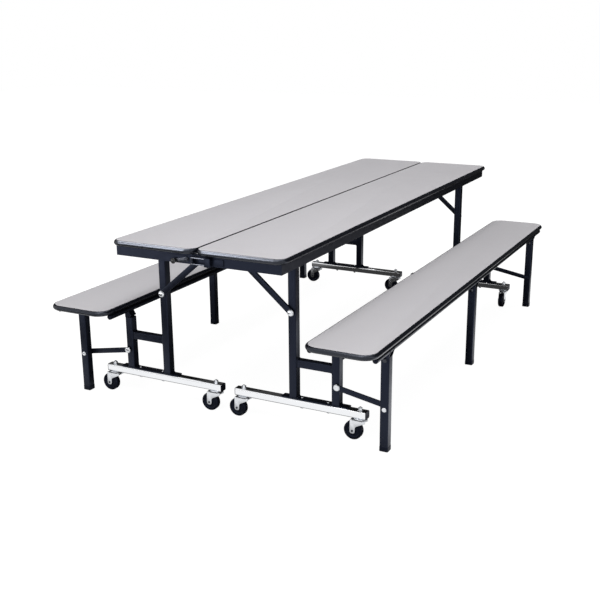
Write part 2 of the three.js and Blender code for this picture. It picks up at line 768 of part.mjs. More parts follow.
function addCasters(parent, side, sideX, end, endY, fork, wheel) {
  for (const [place, stem] of [["inner", STEM_INNER], ["outer", STEM_OUTER]]) {
    const caster = new THREE.Group();
    caster.position.set(sideX * stem, endY * FRAME_Y, 0);
    caster.rotation.z = casterTurn(side, end, place);
    piece(caster, `caster_fork_${side}_${end}_${place}`, fork, "zinc");
    piece(caster, `caster_wheel_${side}_${end}_${place}`, wheel, "rubber");
    parent.add(caster);
  }
}

function buildTable() {
  const table = new THREE.Group();
  const top = board(SEAM_GAP / 2, TOP_HALF, TOP_UNDER, TOP_THICK, TOP_CORNER);
  const bench = board(BENCH_START, BENCH_START + BENCH_WIDE, BENCH_UNDER, BENCH_THICK, BENCH_CORNER);
  const whole = [
    ["top_board", top.core, "laminate"],
    ["top_edge", top.edge, "edging"],
    ["apron", apron(), "enamel"],
    ["bench_board", bench.core, "laminate"],
    ["bench_edge", bench.edge, "edging"],
    ["bench_rail_inner", innerRail(), "enamel"],
    ["bench_rail_outer", outerRail(), "enamel"],
    ["leg_middle", leg(0, false), "enamel"],
  ];
  const ended = [
    ["pivot_plate", pivotPlate(), "enamel"],
    ["brace", brace(), "enamel"],
    ["end_frame", endFrame(), "enamel"],
    ["base_tube", baseTube(), "chrome"],
    ["leg", leg(END_LEG_Y, true), "enamel"],
    ["link", link(), "enamel"],
  ];
  const fork = casterFork();
  const wheel = casterWheel();
  for (const [side, sideX] of SIDES) {
    const unit = new THREE.Group();
    for (const [name, geometry, finish] of whole) {
      piece(unit, `${name}_${side}`, mirrored(geometry, sideX, 1), finish);
    }
    for (const [end, endY] of ENDS) {
      for (const [name, geometry, finish] of ended) {
        piece(unit, `${name}_${side}_${end}`, mirrored(geometry, sideX, endY), finish);
      }
      addCasters(unit, side, sideX, end, endY, fork, wheel);
    }
    table.add(unit);
  }
  const near = -1;
  const right = 1;
  const left = -1;
  piece(table, "latch_loop", mirrored(latchLoop(), right, near), "enamel");
  piece(table, "latch_keeper", mirrored(latchKeeper(), left, near), "enamel");
  piece(table, "latch_lever", mirrored(latchLever(), left, near), "enamel");
  piece(table, "latch_knob", mirrored(latchKnob(), left, near), "knob");
  return table;
}

export default buildTable();
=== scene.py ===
"""Looks of a mobile cafeteria table: two half-top units with benches, latched at the seam.

Lengths are in metres in the CAD frame: +Z up, +Y along the table, origin on the floor under the seam.
"""

import json
import logging
import math
from dataclasses import dataclass
from enum import Enum

import bpy
import numpy as np
from mathutils import Matrix, Vector


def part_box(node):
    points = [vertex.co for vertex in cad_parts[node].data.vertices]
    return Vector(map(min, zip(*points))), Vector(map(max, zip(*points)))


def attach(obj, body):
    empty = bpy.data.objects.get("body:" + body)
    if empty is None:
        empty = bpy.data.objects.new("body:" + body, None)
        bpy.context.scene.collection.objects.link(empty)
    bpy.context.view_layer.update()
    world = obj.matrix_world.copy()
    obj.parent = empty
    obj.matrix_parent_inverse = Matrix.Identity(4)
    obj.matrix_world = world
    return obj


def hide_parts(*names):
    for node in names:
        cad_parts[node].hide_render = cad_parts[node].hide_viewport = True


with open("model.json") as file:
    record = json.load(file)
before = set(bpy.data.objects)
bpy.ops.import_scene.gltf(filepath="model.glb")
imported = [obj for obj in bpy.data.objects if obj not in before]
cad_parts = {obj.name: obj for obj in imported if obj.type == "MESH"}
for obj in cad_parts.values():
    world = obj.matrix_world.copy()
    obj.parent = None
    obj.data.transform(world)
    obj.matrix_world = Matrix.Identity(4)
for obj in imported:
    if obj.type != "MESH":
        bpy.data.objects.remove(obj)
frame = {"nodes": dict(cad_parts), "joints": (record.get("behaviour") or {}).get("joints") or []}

LOG = logging.getLogger("cafeteria_table")
MM = 0.001
IMAGE_PIXELS = 600
SENSOR_MM = 36.0
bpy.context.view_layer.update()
WHITE = "#FFFFFF"
# A dome's upright skirt as a share of its height, and how much of a quarter turn its curve takes
DOME_SKIRT = 0.25
DOME_REACH = 0.98
WASHER_THICK = 1.6 * MM
WASHER_EDGE = 0.5 * MM
# The middle half of a noise pattern's range, where nearly all its values lie
NOISE_LOW = 0.25
NOISE_HIGH = 0.75
# A length too short to divide by
NO_LENGTH = 1e-12
Profile = tuple[tuple[float, float], ...]
Place = tuple[float, float] | np.ndarray


class Named(Enum):
    """An option whose name is a word in node names."""

    @property
    def tag(self) -> str:
        """The word for this option."""
        return self.name.lower()


class Side(Named):
    """The two units of the table, by the sign of their X."""

    RIGHT = 1
    LEFT = -1


class End(Named):
    """The two ends of the table, by the sign of their Y."""

    NEAR = -1
    FAR = 1


class Spot(Named):
    """Where a leg stands along its bench, by the sign of its Y."""

    NEAR = -1
    MIDDLE = 0
    FAR = 1


class Lane(Named):
    """The two rails of a bench and the two casters of a base tube, counted out from the seam."""

    INNER = 0
    OUTER = 1


class Board(Named):
    """The two boards of a unit."""

    TOP = 0
    BENCH = 1


class Axis(Enum):
    """The row axis that a form is turned about or carried along."""

    X = 0
    Y = 1
    Z = 2


# Meshes worked out as whole arrays

@dataclass
class Shell:
    """One closed surface: its points, its four-cornered faces and the caps on its ends."""

    points: np.ndarray
    quads: np.ndarray
    caps: tuple[np.ndarray, ...]


def outward(shell: Shell) -> Shell:
    """Turns a shell's faces outwards.

    The signed volume is a sixth of the sum over triangles of corner a dot (b cross c). A shell with a
    negative one is inside out.

    Args:
        shell: A closed shell whose faces all turn the same way.

    Returns:
        The shell with its faces pointing out.
    """
    fans = [shell.quads[:, [0, 1, 2]], shell.quads[:, [0, 2, 3]]]
    fans += [np.stack(np.broadcast_arrays(cap[0], cap[1:-1], cap[2:]), axis=-1) for cap in shell.caps]
    corners = shell.points[np.concatenate(fans)]
    volume = np.einsum("ij,ij->i", corners[:, 0], np.cross(corners[:, 1], corners[:, 2])).sum()
    if volume >= 0:
        return shell
    return Shell(shell.points, shell.quads[:, ::-1], tuple(cap[::-1] for cap in shell.caps))


def skinned(rings: np.ndarray, looped: bool = False) -> Shell:
    """Skins a stack of rings: point (i, j) joins (i, j + 1) and (i + 1, j).

    Args:
        rings: Array of stack by ring by three.
        looped: Whether the last ring joins the first, as in a moulding, and neither end is capped.

    Returns:
        The closed shell, facing outwards.
    """
    stack, count = rings.shape[:2]
    row = np.arange(stack if looped else stack - 1)[:, None]
    column = np.arange(count)[None, :]
    after = (column + 1) % count
    above = (row + 1) % stack
    quads = np.stack(
        [row * count + column, row * count + after, above * count + after, above * count + column], axis=-1
    ).reshape(-1, 4)
    ends = (np.arange(count)[::-1], np.arange((stack - 1) * count, stack * count))
    return outward(Shell(rings.reshape(-1, 3), quads, () if looped else ends))


def placed(across: np.ndarray, rise: np.ndarray, along: np.ndarray, axis: Axis) -> np.ndarray:
    """Puts two section coordinates and a third along the axis into X, Y and Z.

    Args:
        across: First section coordinate: Y for axis X, and X otherwise.
        rise: Second section coordinate: Y for axis Z, and Z otherwise.
        along: Coordinate along the axis.
        axis: The row axis.

    Returns:
        Points, with the three coordinates last.
    """
    across, rise, along = np.broadcast_arrays(across, rise, along)
    order = {Axis.X: (along, across, rise), Axis.Y: (across, along, rise), Axis.Z: (across, rise, along)}
    return np.stack(order[axis], axis=-1)


def rounded_rectangle(low: Place, high: Place, radius: float, steps: int = 8) -> np.ndarray:
    """A rectangle with quarter-circle corners, as points in order.

    Each corner is its centre plus the radius times (cos a, sin a) over a quarter turn.

    Args:
        low: Lowest corner.
        high: Highest corner.
        radius: Corner radius.
        steps: Points in each corner.

    Returns:
        Array of points by two.
    """
    turn = np.linspace(0, np.pi / 2, steps)[None, :] + np.arange(4)[:, None] * np.pi / 2
    centre_u = np.array([high[0], low[0], low[0], high[0]]) + radius * np.array([-1, 1, 1, -1])
    centre_v = np.array([high[1], high[1], low[1], low[1]]) + radius * np.array([-1, -1, 1, 1])
    u = centre_u[:, None] + radius * np.cos(turn)
    v = centre_v[:, None] + radius * np.sin(turn)
    return np.stack([u.ravel(), v.ravel()], axis=-1)


def resampled(outline: np.ndarray, count: int) -> np.ndarray:
    """Evenly spaced points round a closed outline, by length along it.

    Args:
        outline: Points by two, in order.
        count: How many points to give back.

    Returns:
        Array of count by two.
    """
    ring = np.concatenate([outline, outline[:1]])
    run = np.concatenate([[0.0], np.cumsum(np.linalg.norm(np.diff(ring, axis=0), axis=1))])
    at = np.linspace(0, run[-1], count, endpoint=False)
    return np.stack([np.interp(at, run, ring[:, 0]), np.interp(at, run, ring[:, 1])], axis=-1)


def tapered_bar(
    first: Place, last: Place, first_radius: float, last_radius: float, steps: int = 18,
) -> np.ndarray:
    """The outline round two circles: half of each, joined by straight sides.

    Args:
        first: Centre of the first round end.
        last: Centre of the last round end.
        first_radius: Radius at the first end.
        last_radius: Radius at the last end.
        steps: Points in each half circle.

    Returns:
        Array of points by two, anticlockwise.
    """
    heading = math.atan2(last[1] - first[1], last[0] - first[0])
    half = np.linspace(np.pi / 2, 3 * np.pi / 2, steps) + heading
    arc = np.stack([np.cos(half), np.sin(half)], axis=-1)
    return np.concatenate([np.array(first) + first_radius * arc, np.array(last) - last_radius * arc])


def filleted(corners: np.ndarray, radii: np.ndarray, steps: int = 7) -> np.ndarray:
    """A polygon with each corner drawn as a curve that leaves one side and joins the next.

    A corner's curve is (1 - t) squared of a point one radius back, 2 t (1 - t) of the corner itself and
    t squared of a point one radius on.

    Args:
        corners: Points by two, in order.
        radii: How far back each corner's curve starts.
        steps: Points in each corner.

    Returns:
        Array of points by two.
    """
    back = np.roll(corners, 1, axis=0) - corners
    ahead = np.roll(corners, -1, axis=0) - corners
    start = corners + back / np.linalg.norm(back, axis=1, keepdims=True) * radii[:, None]
    finish = corners + ahead / np.linalg.norm(ahead, axis=1, keepdims=True) * radii[:, None]
    t = np.linspace(0, 1, steps)[None, :, None]
    curve = (1 - t) ** 2 * start[:, None] + 2 * t * (1 - t) * corners[:, None] + t ** 2 * finish[:, None]
    return curve.reshape(-1, 2)


def hexagon(flat: float, centre: Place, steps: int = 48) -> np.ndarray:
    """A hexagon's outline.

    The radius is half the flat over the cosine of the angle from the middle of the nearest flat.

    Args:
        flat: Size across the flats.
        centre: Middle of the hexagon.
        steps: Points round the outline.

    Returns:
        Array of points by two.
    """
    turn = np.linspace(0, 2 * np.pi, steps, endpoint=False)
    radius = flat / 2 / np.cos((turn + np.pi / 6) % (np.pi / 3) - np.pi / 6)
    return np.stack([radius * np.cos(turn), radius * np.sin(turn)], axis=-1) + np.array(centre)


def slab(outline: np.ndarray, low: float, high: float, edge: float, axis: Axis, steps: int = 4) -> Shell:
    """A flat piece with softened edges.

    The outline is drawn in by edge times (1 - sin a) while the height goes edge times (1 - cos a) in from
    each face, over a quarter turn.

    Args:
        outline: Points by two, in order.
        low: Lower face along the axis.
        high: Upper face along the axis.
        edge: Radius of the softened edge.
        axis: The axis that the thickness runs along.
        steps: Rings in each softened edge.

    Returns:
        The closed shell.
    """
    tangent = np.roll(outline, -1, axis=0) - np.roll(outline, 1, axis=0)
    normal = np.stack([tangent[:, 1], -tangent[:, 0]], axis=-1)
    normal /= np.maximum(np.linalg.norm(normal, axis=1, keepdims=True), NO_LENGTH)
    turn = np.linspace(0, np.pi / 2, steps)
    inset = np.concatenate([edge * (1 - np.sin(turn)), edge * (1 - np.sin(turn))[::-1]])
    height = np.concatenate([low + edge * (1 - np.cos(turn)), high - edge * (1 - np.cos(turn))[::-1]])
    rings = outline[None, :, :] - inset[:, None, None] * normal[None, :, :]
    return skinned(placed(rings[..., 0], rings[..., 1], height[:, None], axis))


def turned(profile: np.ndarray, centre: Place, axis: Axis, steps: int, looped: bool = False) -> Shell:
    """A profile of radius and height carried round an axis: radius times (cos a, sin a) at each height.

    Args:
        profile: Points of radius and height along the axis.
        centre: Axis position in the section's two coordinates.
        axis: The axis of turning.
        steps: Points round the turn.
        looped: Whether the profile closes on itself, as a ring with a bore does.

    Returns:
        The closed shell.
    """
    turn = np.linspace(0, 2 * np.pi, steps, endpoint=False)[None, :]
    radius = profile[:, :1]
    across = centre[0] + radius * np.cos(turn)
    rise = centre[1] + radius * np.sin(turn)
    return skinned(placed(across, rise, profile[:, 1:2], axis), looped)


def piped(path: np.ndarray, radius: np.ndarray | float, steps: int = 16, looped: bool = False) -> Shell:
    """A round rod along a flat path.

    Each ring is the radius times (cos a, sin a) in the plane across the path.

    Args:
        path: Points by three, in order and not doubling back.
        radius: Rod radius, or one for each point.
        steps: Points round the rod.
        looped: Whether the path closes on itself.

    Returns:
        The closed shell.
    """
    ahead = np.roll(path, -1, axis=0) - np.roll(path, 1, axis=0)
    tangent = ahead if looped else np.gradient(path, axis=0)
    tangent /= np.linalg.norm(tangent, axis=1, keepdims=True)
    spread = np.linalg.svd(path - path.mean(axis=0))[2][2]
    first = np.cross(tangent, spread)
    first /= np.linalg.norm(first, axis=1, keepdims=True)
    second = np.cross(tangent, first)
    turn = np.linspace(0, 2 * np.pi, steps, endpoint=False)[None, :, None]
    ring = np.cos(turn) * first[:, None, :] + np.sin(turn) * second[:, None, :]
    swell = np.broadcast_to(radius, len(path))[:, None, None]
    return skinned(path[:, None, :] + swell * ring, looped)


def dome(radius: float, height: float, base: float, way: float, steps: int = 9) -> np.ndarray:
    """A low dome's profile: a short skirt, then radius cos a against height sin a over a quarter turn.

    Args:
        radius: Radius of the rim.
        height: Height of the dome.
        base: Where the rim lies along the axis.
        way: Plus or minus one, the way that it stands.
        steps: Points along the curve.

    Returns:
        Points of radius and height.
    """
    skirt = DOME_SKIRT * height
    turn = np.linspace(0, DOME_REACH * np.pi / 2, steps)
    radii = np.concatenate([[radius], radius * np.cos(turn)])
    heights = np.concatenate([[0.0], skirt + (height - skirt) * np.sin(turn)])
    return np.stack([radii, base + way * heights], axis=-1)


def bevelled(radius: float, first: float, last: float, edge: float) -> np.ndarray:
    """A round bar's or a washer's profile: full radius, and less by the edge at both ends.

    Args:
        radius: Full radius.
        first: One end along the axis.
        last: The other end.
        edge: Size of the bevel.

    Returns:
        Points of radius and height.
    """
    step = math.copysign(edge, last - first)
    neck = radius - edge
    return np.array([[neck, first], [radius, first + step], [radius, last - step], [neck, last]])


# Finishes

def linear(colour: str) -> tuple[float, float, float, float]:
    """Turns an sRGB hex value into linear light.

    Args:
        colour: A hash mark and six hex digits.

    Returns:
        Red, green, blue and alpha.
    """
    values = [int(colour[place:place + 2], 16) / 255 for place in (1, 3, 5)]
    bent = [v / 12.92 if v <= 0.04045 else ((v + 0.055) / 1.055) ** 2.4 for v in values]
    return bent[0], bent[1], bent[2], 1.0


def add_node(tree: bpy.types.NodeTree, kind: str, inputs: dict | None = None, **settings) -> bpy.types.Node:
    """Adds a node with its settings, values and links.

    Args:
        tree: The material's or world's node tree.
        kind: Blender's name of the node type.
        inputs: Socket name or number to a value or to the output socket that feeds it.
        **settings: Properties of the node itself.

    Returns:
        The new node.
    """
    made = tree.nodes.new(kind)
    for name, value in settings.items():
        setattr(made, name, value)
    for name, value in (inputs or {}).items():
        if isinstance(value, bpy.types.NodeSocket):
            tree.links.new(value, made.inputs[name])
        else:
            made.inputs[name].default_value = value
    return made


def per_metre(size_mm: float) -> float:
    """Pattern scale on coordinates in metres, for a pattern whose grain is this many millimetres."""
    return 1.0 / (size_mm * MM)


@dataclass(frozen=True)
class Finish:
    """A surface: base colour, gloss, a drift of tone, a drift of gloss and a fine relief."""

    name: str
    slot: str
    colour: str
    tone: str
    roughness: float
    gloss_drift: float
    metallic: float = 0.0
    specular: float = 0.5
    glint: str = "#FFFFFF"
    tone_mm: float = 60.0
    drift_mm: float = 25.0
    relief_mm: float = 1.2
    relief_depth_mm: float = 0.03
    relief_strength: float = 0.25
    scuff_colour: str = ""
    scuff_height_mm: float = 0.0
    scuff_mm: float = 9.0
    scuff_share: float = 0.5
    scuff_from: float = 0.56
    scuff_full: float = 0.70

    def material(self) -> bpy.types.Material:
        """Builds the material once and hands out the same one afterwards.

        Returns:
            The material.
        """
        made = bpy.data.materials.get(self.name)
        if made is not None:
            return made
        made = bpy.data.materials.new(self.name)
        made.use_nodes = True
        tree = made.node_tree
        shader = tree.nodes["Principled BSDF"]
        shader.inputs["Metallic"].default_value = self.metallic
        shader.inputs["Specular IOR Level"].default_value = self.specular
        shader.inputs["Specular Tint"].default_value = linear(self.glint)
        place = add_node(tree, "ShaderNodeTexCoord").outputs["Object"]
        tree.links.new(self.shade(tree, place), shader.inputs["Base Color"])
        tree.links.new(self.gloss(tree, place), shader.inputs["Roughness"])
        tree.links.new(self.relief(tree, place), shader.inputs["Normal"])
        return made

    def shade(self, tree: bpy.types.NodeTree, place: bpy.types.NodeSocket) -> bpy.types.NodeSocket:
        """Base colour: a slow drift between two tones, and scuffs near the floor where the finish has them.

        Args:
            tree: The material's node tree.
            place: Object coordinates.

        Returns:
            The colour socket.
        """
        drift = add_node(tree, "ShaderNodeTexNoise", {
            "Vector": place, "Scale": per_metre(self.tone_mm), "Detail": 4.0, "Roughness": 0.6,
        })
        mixed = add_node(tree, "ShaderNodeMixRGB", {
            "Fac": drift.outputs["Fac"], "Color1": linear(self.colour), "Color2": linear(self.tone),
        }).outputs["Color"]
        if not self.scuff_colour:
            return mixed
        height = add_node(tree, "ShaderNodeSeparateXYZ", {"Vector": place}).outputs["Z"]
        low = add_node(tree, "ShaderNodeMapRange", {
            "Value": height, "From Min": self.scuff_height_mm * MM, "From Max": 0.0,
            "To Min": 0.0, "To Max": self.scuff_share,
        }).outputs["Result"]
        marks = add_node(tree, "ShaderNodeTexNoise", {
            "Vector": place, "Scale": per_metre(self.scuff_mm), "Detail": 6.0, "Roughness": 0.75,
        }).outputs["Fac"]
        worn = add_node(tree, "ShaderNodeMapRange", {
            "Value": marks, "From Min": self.scuff_from, "From Max": self.scuff_full,
            "To Min": 0.0, "To Max": low,
        }).outputs["Result"]
        return add_node(tree, "ShaderNodeMixRGB", {
            "Fac": worn, "Color1": mixed, "Color2": linear(self.scuff_colour),
        }).outputs["Color"]

    def gloss(self, tree: bpy.types.NodeTree, place: bpy.types.NodeSocket) -> bpy.types.NodeSocket:
        """Roughness: handling marks drift it about its middle value.

        Args:
            tree: The material's node tree.
            place: Object coordinates.

        Returns:
            The roughness socket.
        """
        marks = add_node(tree, "ShaderNodeTexNoise", {
            "Vector": place, "Scale": per_metre(self.drift_mm), "Detail": 5.0, "Roughness": 0.65,
        }).outputs["Fac"]
        return add_node(tree, "ShaderNodeMapRange", {
            "Value": marks, "From Min": NOISE_LOW, "From Max": NOISE_HIGH,
            "To Min": self.roughness - self.gloss_drift, "To Max": self.roughness + self.gloss_drift,
        }).outputs["Result"]

    def relief(self, tree: bpy.types.NodeTree, place: bpy.types.NodeSocket) -> bpy.types.NodeSocket:
        """Fine relief of the surface, as a bump.

        Args:
            tree: The material's node tree.
            place: Object coordinates.

        Returns:
            The normal socket.
        """
        grain = add_node(tree, "ShaderNodeTexNoise", {
            "Vector": place, "Scale": per_metre(self.relief_mm), "Detail": 3.0, "Roughness": 0.5,
        }).outputs["Fac"]
        return add_node(tree, "ShaderNodeBump", {
            "Strength": self.relief_strength, "Distance": self.relief_depth_mm * MM, "Height": grain,
        }).outputs["Normal"]


@dataclass(frozen=True)
class SpeckledLaminate(Finish):
    """High-pressure laminate: a printed sheet with a fine dark speckle under a satin melamine face."""

    speckle_mm: float = 3.0
    dark_speck: str = "#A6A5A9"
    speck_share: float = 0.35
    speck_from: float = 0.55
    speck_full: float = 0.72

    def shade(self, tree: bpy.types.NodeTree, place: bpy.types.NodeSocket) -> bpy.types.NodeSocket:
        """The printed sheet: its drift of tone, with sparse specks drawn as coarse as they need to show.

        Args:
            tree: The material's node tree.
            place: Object coordinates.

        Returns:
            The colour socket.
        """
        sheet = super().shade(tree, place)
        cells = add_node(tree, "ShaderNodeTexNoise", {
            "Vector": place, "Scale": per_metre(self.speckle_mm), "Detail": 2.0, "Roughness": 0.8,
        }).outputs["Fac"]
        specks = add_node(tree, "ShaderNodeMapRange", {
            "Value": cells, "From Min": self.speck_from, "From Max": self.speck_full,
            "To Min": 0.0, "To Max": self.speck_share,
        }).outputs["Result"]
        return add_node(tree, "ShaderNodeMixRGB", {
            "Fac": specks, "Color1": sheet, "Color2": linear(self.dark_speck),
        }).outputs["Color"]


# Melamine laminate, pressed on a satin plate: pale grey, softly glossy, a faint speckle
LAMINATE = SpeckledLaminate(
    name="grey_melamine_laminate", slot="laminate", colour="#C9C7CA", tone="#C4C2C6", roughness=0.45,
    gloss_drift=0.05, specular=0.36, tone_mm=420.0, drift_mm=90.0, relief_mm=1.6, relief_depth_mm=0.02,
    relief_strength=0.12,
)
# Phenolic-soaked paper backing sheet: near black, dull, with the faint cloud of the paper
BACKER = Finish(
    name="phenolic_backing_sheet", slot="edging", colour="#15130F", tone="#1D1A16", roughness=0.6,
    gloss_drift=0.08, specular=0.3, tone_mm=35.0, drift_mm=18.0, relief_mm=1.4, relief_depth_mm=0.04,
    relief_strength=0.3,
)
# Extruded vinyl edge moulding: black, satin, with a soft broad highlight on its nose
MOULDING = Finish(
    name="black_vinyl_moulding", slot="edging", colour="#0B0C13", tone="#11131B", roughness=0.26,
    gloss_drift=0.05, specular=0.55, glint="#E4ECFF", tone_mm=80.0, drift_mm=30.0, relief_mm=0.8,
    relief_depth_mm=0.02, relief_strength=0.15,
)
# Powder coat baked on steel: black with a slight blue cast and the faint ripple of melted powder
POWDER_COAT = Finish(
    name="black_powder_coat", slot="enamel", colour="#0B0D13", tone="#11131B", roughness=0.36,
    gloss_drift=0.07, specular=0.36, glint="#BCCDFF", tone_mm=70.0, drift_mm=22.0, relief_mm=1.8,
    relief_depth_mm=0.05, relief_strength=0.3, scuff_colour="#5A5B60", scuff_height_mm=140.0,
)
# Oiled black oxide on small steel fittings: dark metal that still glints along its edges
BLACK_OXIDE = Finish(
    name="black_oxide_steel", slot="enamel", colour="#4A4C52", tone="#3A3C42", roughness=0.30,
    gloss_drift=0.08, metallic=1.0, tone_mm=9.0, drift_mm=5.0, relief_mm=0.9, relief_depth_mm=0.02,
    relief_strength=0.2,
)
# Bright chrome plate on tube: a mirror with faint handling haze
CHROME = Finish(
    name="bright_chrome_plate", slot="chrome", colour="#F6F7F9", tone="#EEF0F3", roughness=0.07,
    gloss_drift=0.03, metallic=1.0, tone_mm=120.0, drift_mm=18.0, relief_mm=6.0, relief_depth_mm=0.01,
    relief_strength=0.05,
)
# Zinc-plated pressed steel: bright, a little cloudy from the plating bath
ZINC = Finish(
    name="bright_zinc_plate", slot="zinc", colour="#EDEFF2", tone="#D6D9DE", roughness=0.22,
    gloss_drift=0.08, metallic=1.0, tone_mm=12.0, drift_mm=6.0, relief_mm=1.0, relief_depth_mm=0.02,
    relief_strength=0.2,
)
# Moulded thermoplastic rubber tread: black, dull, dusty where it rolls
TREAD = Finish(
    name="black_rubber_tread", slot="rubber", colour="#05060C", tone="#0A0B14", roughness=0.5,
    gloss_drift=0.1, specular=0.22, glint="#BCCDFF", tone_mm=14.0, drift_mm=8.0, relief_mm=0.9,
    relief_depth_mm=0.05, relief_strength=0.4, scuff_colour="#34353A", scuff_height_mm=14.0,
)
# Injection-moulded nylon: black with a cold cast, and the fine sparkle of a grained mould
NYLON = Finish(
    name="black_moulded_nylon", slot="edging", colour="#06070D", tone="#0C0D15", roughness=0.42,
    gloss_drift=0.06, specular=0.25, glint="#BCCDFF", tone_mm=20.0, drift_mm=10.0, relief_mm=0.6,
    relief_depth_mm=0.03, relief_strength=0.3,
)
# Moulded phenolic knob: black and glossy from the polished mould
PHENOLIC = Finish(
    name="black_phenolic_knob", slot="knob", colour="#111216", tone="#16171B", roughness=0.22,
    gloss_drift=0.05, tone_mm=10.0, drift_mm=6.0, relief_mm=2.0, relief_depth_mm=0.01, relief_strength=0.1,
)


def dress_node(node: str, finish: Finish) -> None:
    """Gives a CAD node's object one finish all over.

    Args:
        node: Name of the CAD node.
        finish: Its finish.
    """
    slots = frame["nodes"][node].data.materials
    slots.clear()
    slots.append(finish.material())
    LOG.info("dressed %s in %s", node, finish.name)


def add_piece(
    name: str, shells: list[Shell], finish: Finish, body: str, stands_for: tuple[str, ...] = (),
    crease_deg: float = 32.0,
) -> bpy.types.Object:
    """Makes one visible piece from its shells and lets it ride on a body.

    Args:
        name: Name of the piece.
        shells: Closed shells in the row frame.
        finish: The piece's finish.
        body: CAD body that it moves with.
        stands_for: CAD nodes that it hides.
        crease_deg: Edges sharper than this stay sharp in the shading.

    Returns:
        The new object.
    """
    starts = np.cumsum([0] + [len(shell.points) for shell in shells[:-1]])
    points = np.concatenate([shell.points for shell in shells])
    faces = []
    for shell, start in zip(shells, starts):
        faces += (shell.quads + start).tolist()
        faces += [(cap + start).tolist() for cap in shell.caps]
    mesh = bpy.data.meshes.new(name)
    mesh.from_pydata(points.tolist(), [], faces)
    mesh.shade_smooth()
    mesh.set_sharp_from_angle(angle=math.radians(crease_deg))
    mesh.materials.append(finish.material())
    made = bpy.data.objects.new(name, mesh)
    bpy.context.scene.collection.objects.link(made)
    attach(made, body)
    if stands_for:
        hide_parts(*stands_for)
    LOG.info("made %s on %s, %d faces", name, body, len(faces))
    return made


def joint_place(name: str) -> np.ndarray:
    """Where a joint's axis passes at rest, in the row frame."""
    return np.array(next(joint["pos_m"] for joint in frame["joints"] if joint["name"] == name))


def hinge_place(name: str) -> np.ndarray:
    """X and Z of the axis of a hinge that turns about Y, at rest."""
    return joint_place(name)[[0, 2]]


def link_head(side: Side) -> np.ndarray:
    """Where a unit's links meet its legs: bench, link, frame and leg form a parallelogram.

    Args:
        side: Which unit.

    Returns:
        X and Z of the links' far ends.
    """
    joints = (f"link_swing_{side.tag}", f"leg_swing_{side.tag}", f"bench_fold_{side.tag}")
    swing, leg, fold = (hinge_place(joint) for joint in joints)
    return swing + leg - fold


def node_box(node: str) -> np.ndarray:
    """A CAD node's lowest and highest corners, as two rows."""
    return np.array([list(corner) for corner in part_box(node)])


def bolt_shells(
    place: Place, base: float, way: float, washer: float, head: float, height: float,
) -> list[Shell]:
    """A washer and a domed bolt head on a face that looks along Y.

    Args:
        place: X and Z of the bolt's axis.
        base: Y of the face that it clamps.
        way: Plus or minus one, the way that the face looks.
        washer: Washer radius.
        head: Head radius.
        height: Height of the head over the washer.

    Returns:
        The washer's and the head's shells.
    """
    seat = base + way * WASHER_THICK
    return [
        turned(bevelled(washer, base, seat, WASHER_EDGE), place, Axis.Y, steps=36),
        turned(dome(head, height, seat, way), place, Axis.Y, steps=36),
    ]


# Sub-assemblies

@dataclass
class Corner:
    """A sub-assembly at one end of one unit."""

    side: Side
    end: End

    @property
    def tag(self) -> str:
        """This corner's part of the node names."""
        return f"{self.side.tag}_{self.end.tag}"

    @property
    def way(self) -> float:
        """Plus or minus one, the way along Y that leads out of the table."""
        return float(self.end.value)


@dataclass
class EdgedBoard:
    """A laminate board and its bull-nosed moulding: a half top or a bench seat."""

    side: Side
    kind: Board
    corner: float
    inner_share: float = 1.0
    band: float = 10.0 * MM
    joint: float = 0.15 * MM
    backer: float = 12.0 * MM
    sheet_edge: float = 0.2 * MM
    backer_edge: float = 0.3 * MM
    nose_power: float = 1.75
    nose_steps: int = 17
    corner_steps: int = 14

    def tag(self, piece: str) -> str:
        """The name of one of this board's pieces or nodes."""
        return f"{self.kind.tag}_{piece}_{self.side.tag}"

    def outline(self, box: np.ndarray, gap: float) -> np.ndarray:
        """The board's rounded outline drawn in by a gap, and by less on the side towards the seam.

        Args:
            box: Lowest and highest corners of the edge's node.
            gap: How far in.

        Returns:
            Points by two, in order.
        """
        inner = gap * self.inner_share
        left, right = (inner, gap) if self.side is Side.RIGHT else (gap, inner)
        low, high = box
        return rounded_rectangle(
            (low[0] + left, low[1] + gap), (high[0] - right, high[1] - gap), self.corner - gap,
            self.corner_steps,
        )

    def build(self) -> bpy.types.Object:
        """Makes the moulding, a bull nose round the board's outline, then the sheet and its backing.

        The nose is a superellipse: out is the band times cos a to the power 2 over n, and height is half
        the thickness times sin a to the same power, for a from minus to plus a quarter turn.

        Returns:
            The moulding.
        """
        body = f"{self.kind.tag}_{self.side.tag}"
        box = node_box(self.tag("edge"))
        low, high = box[0][2], box[1][2]
        turn = np.linspace(-np.pi / 2, np.pi / 2, self.nose_steps)
        power = 2 / self.nose_power
        out = self.band * np.abs(np.cos(turn)) ** power
        rise = np.sign(np.sin(turn)) * np.abs(np.sin(turn)) ** power
        height = (low + high) / 2 + (high - low) / 2 * rise
        loops = np.array([self.outline(box, gap) for gap in self.band - out])
        nose = skinned(placed(loops[..., 0], loops[..., 1], height[:, None], Axis.Z), looped=True)
        moulding = add_piece(self.tag("moulding"), [nose], MOULDING, body, (self.tag("edge"),))
        edge = self.outline(box, self.band + self.joint)
        sheet = slab(edge, low + self.backer, high, self.sheet_edge, Axis.Z)
        add_piece(self.tag("sheet"), [sheet], LAMINATE, body, (self.tag("board"),))
        backer = slab(edge, low, low + self.backer - self.joint, self.backer_edge, Axis.Z)
        add_piece(self.tag("backer"), [backer], BACKER, body)
        return moulding


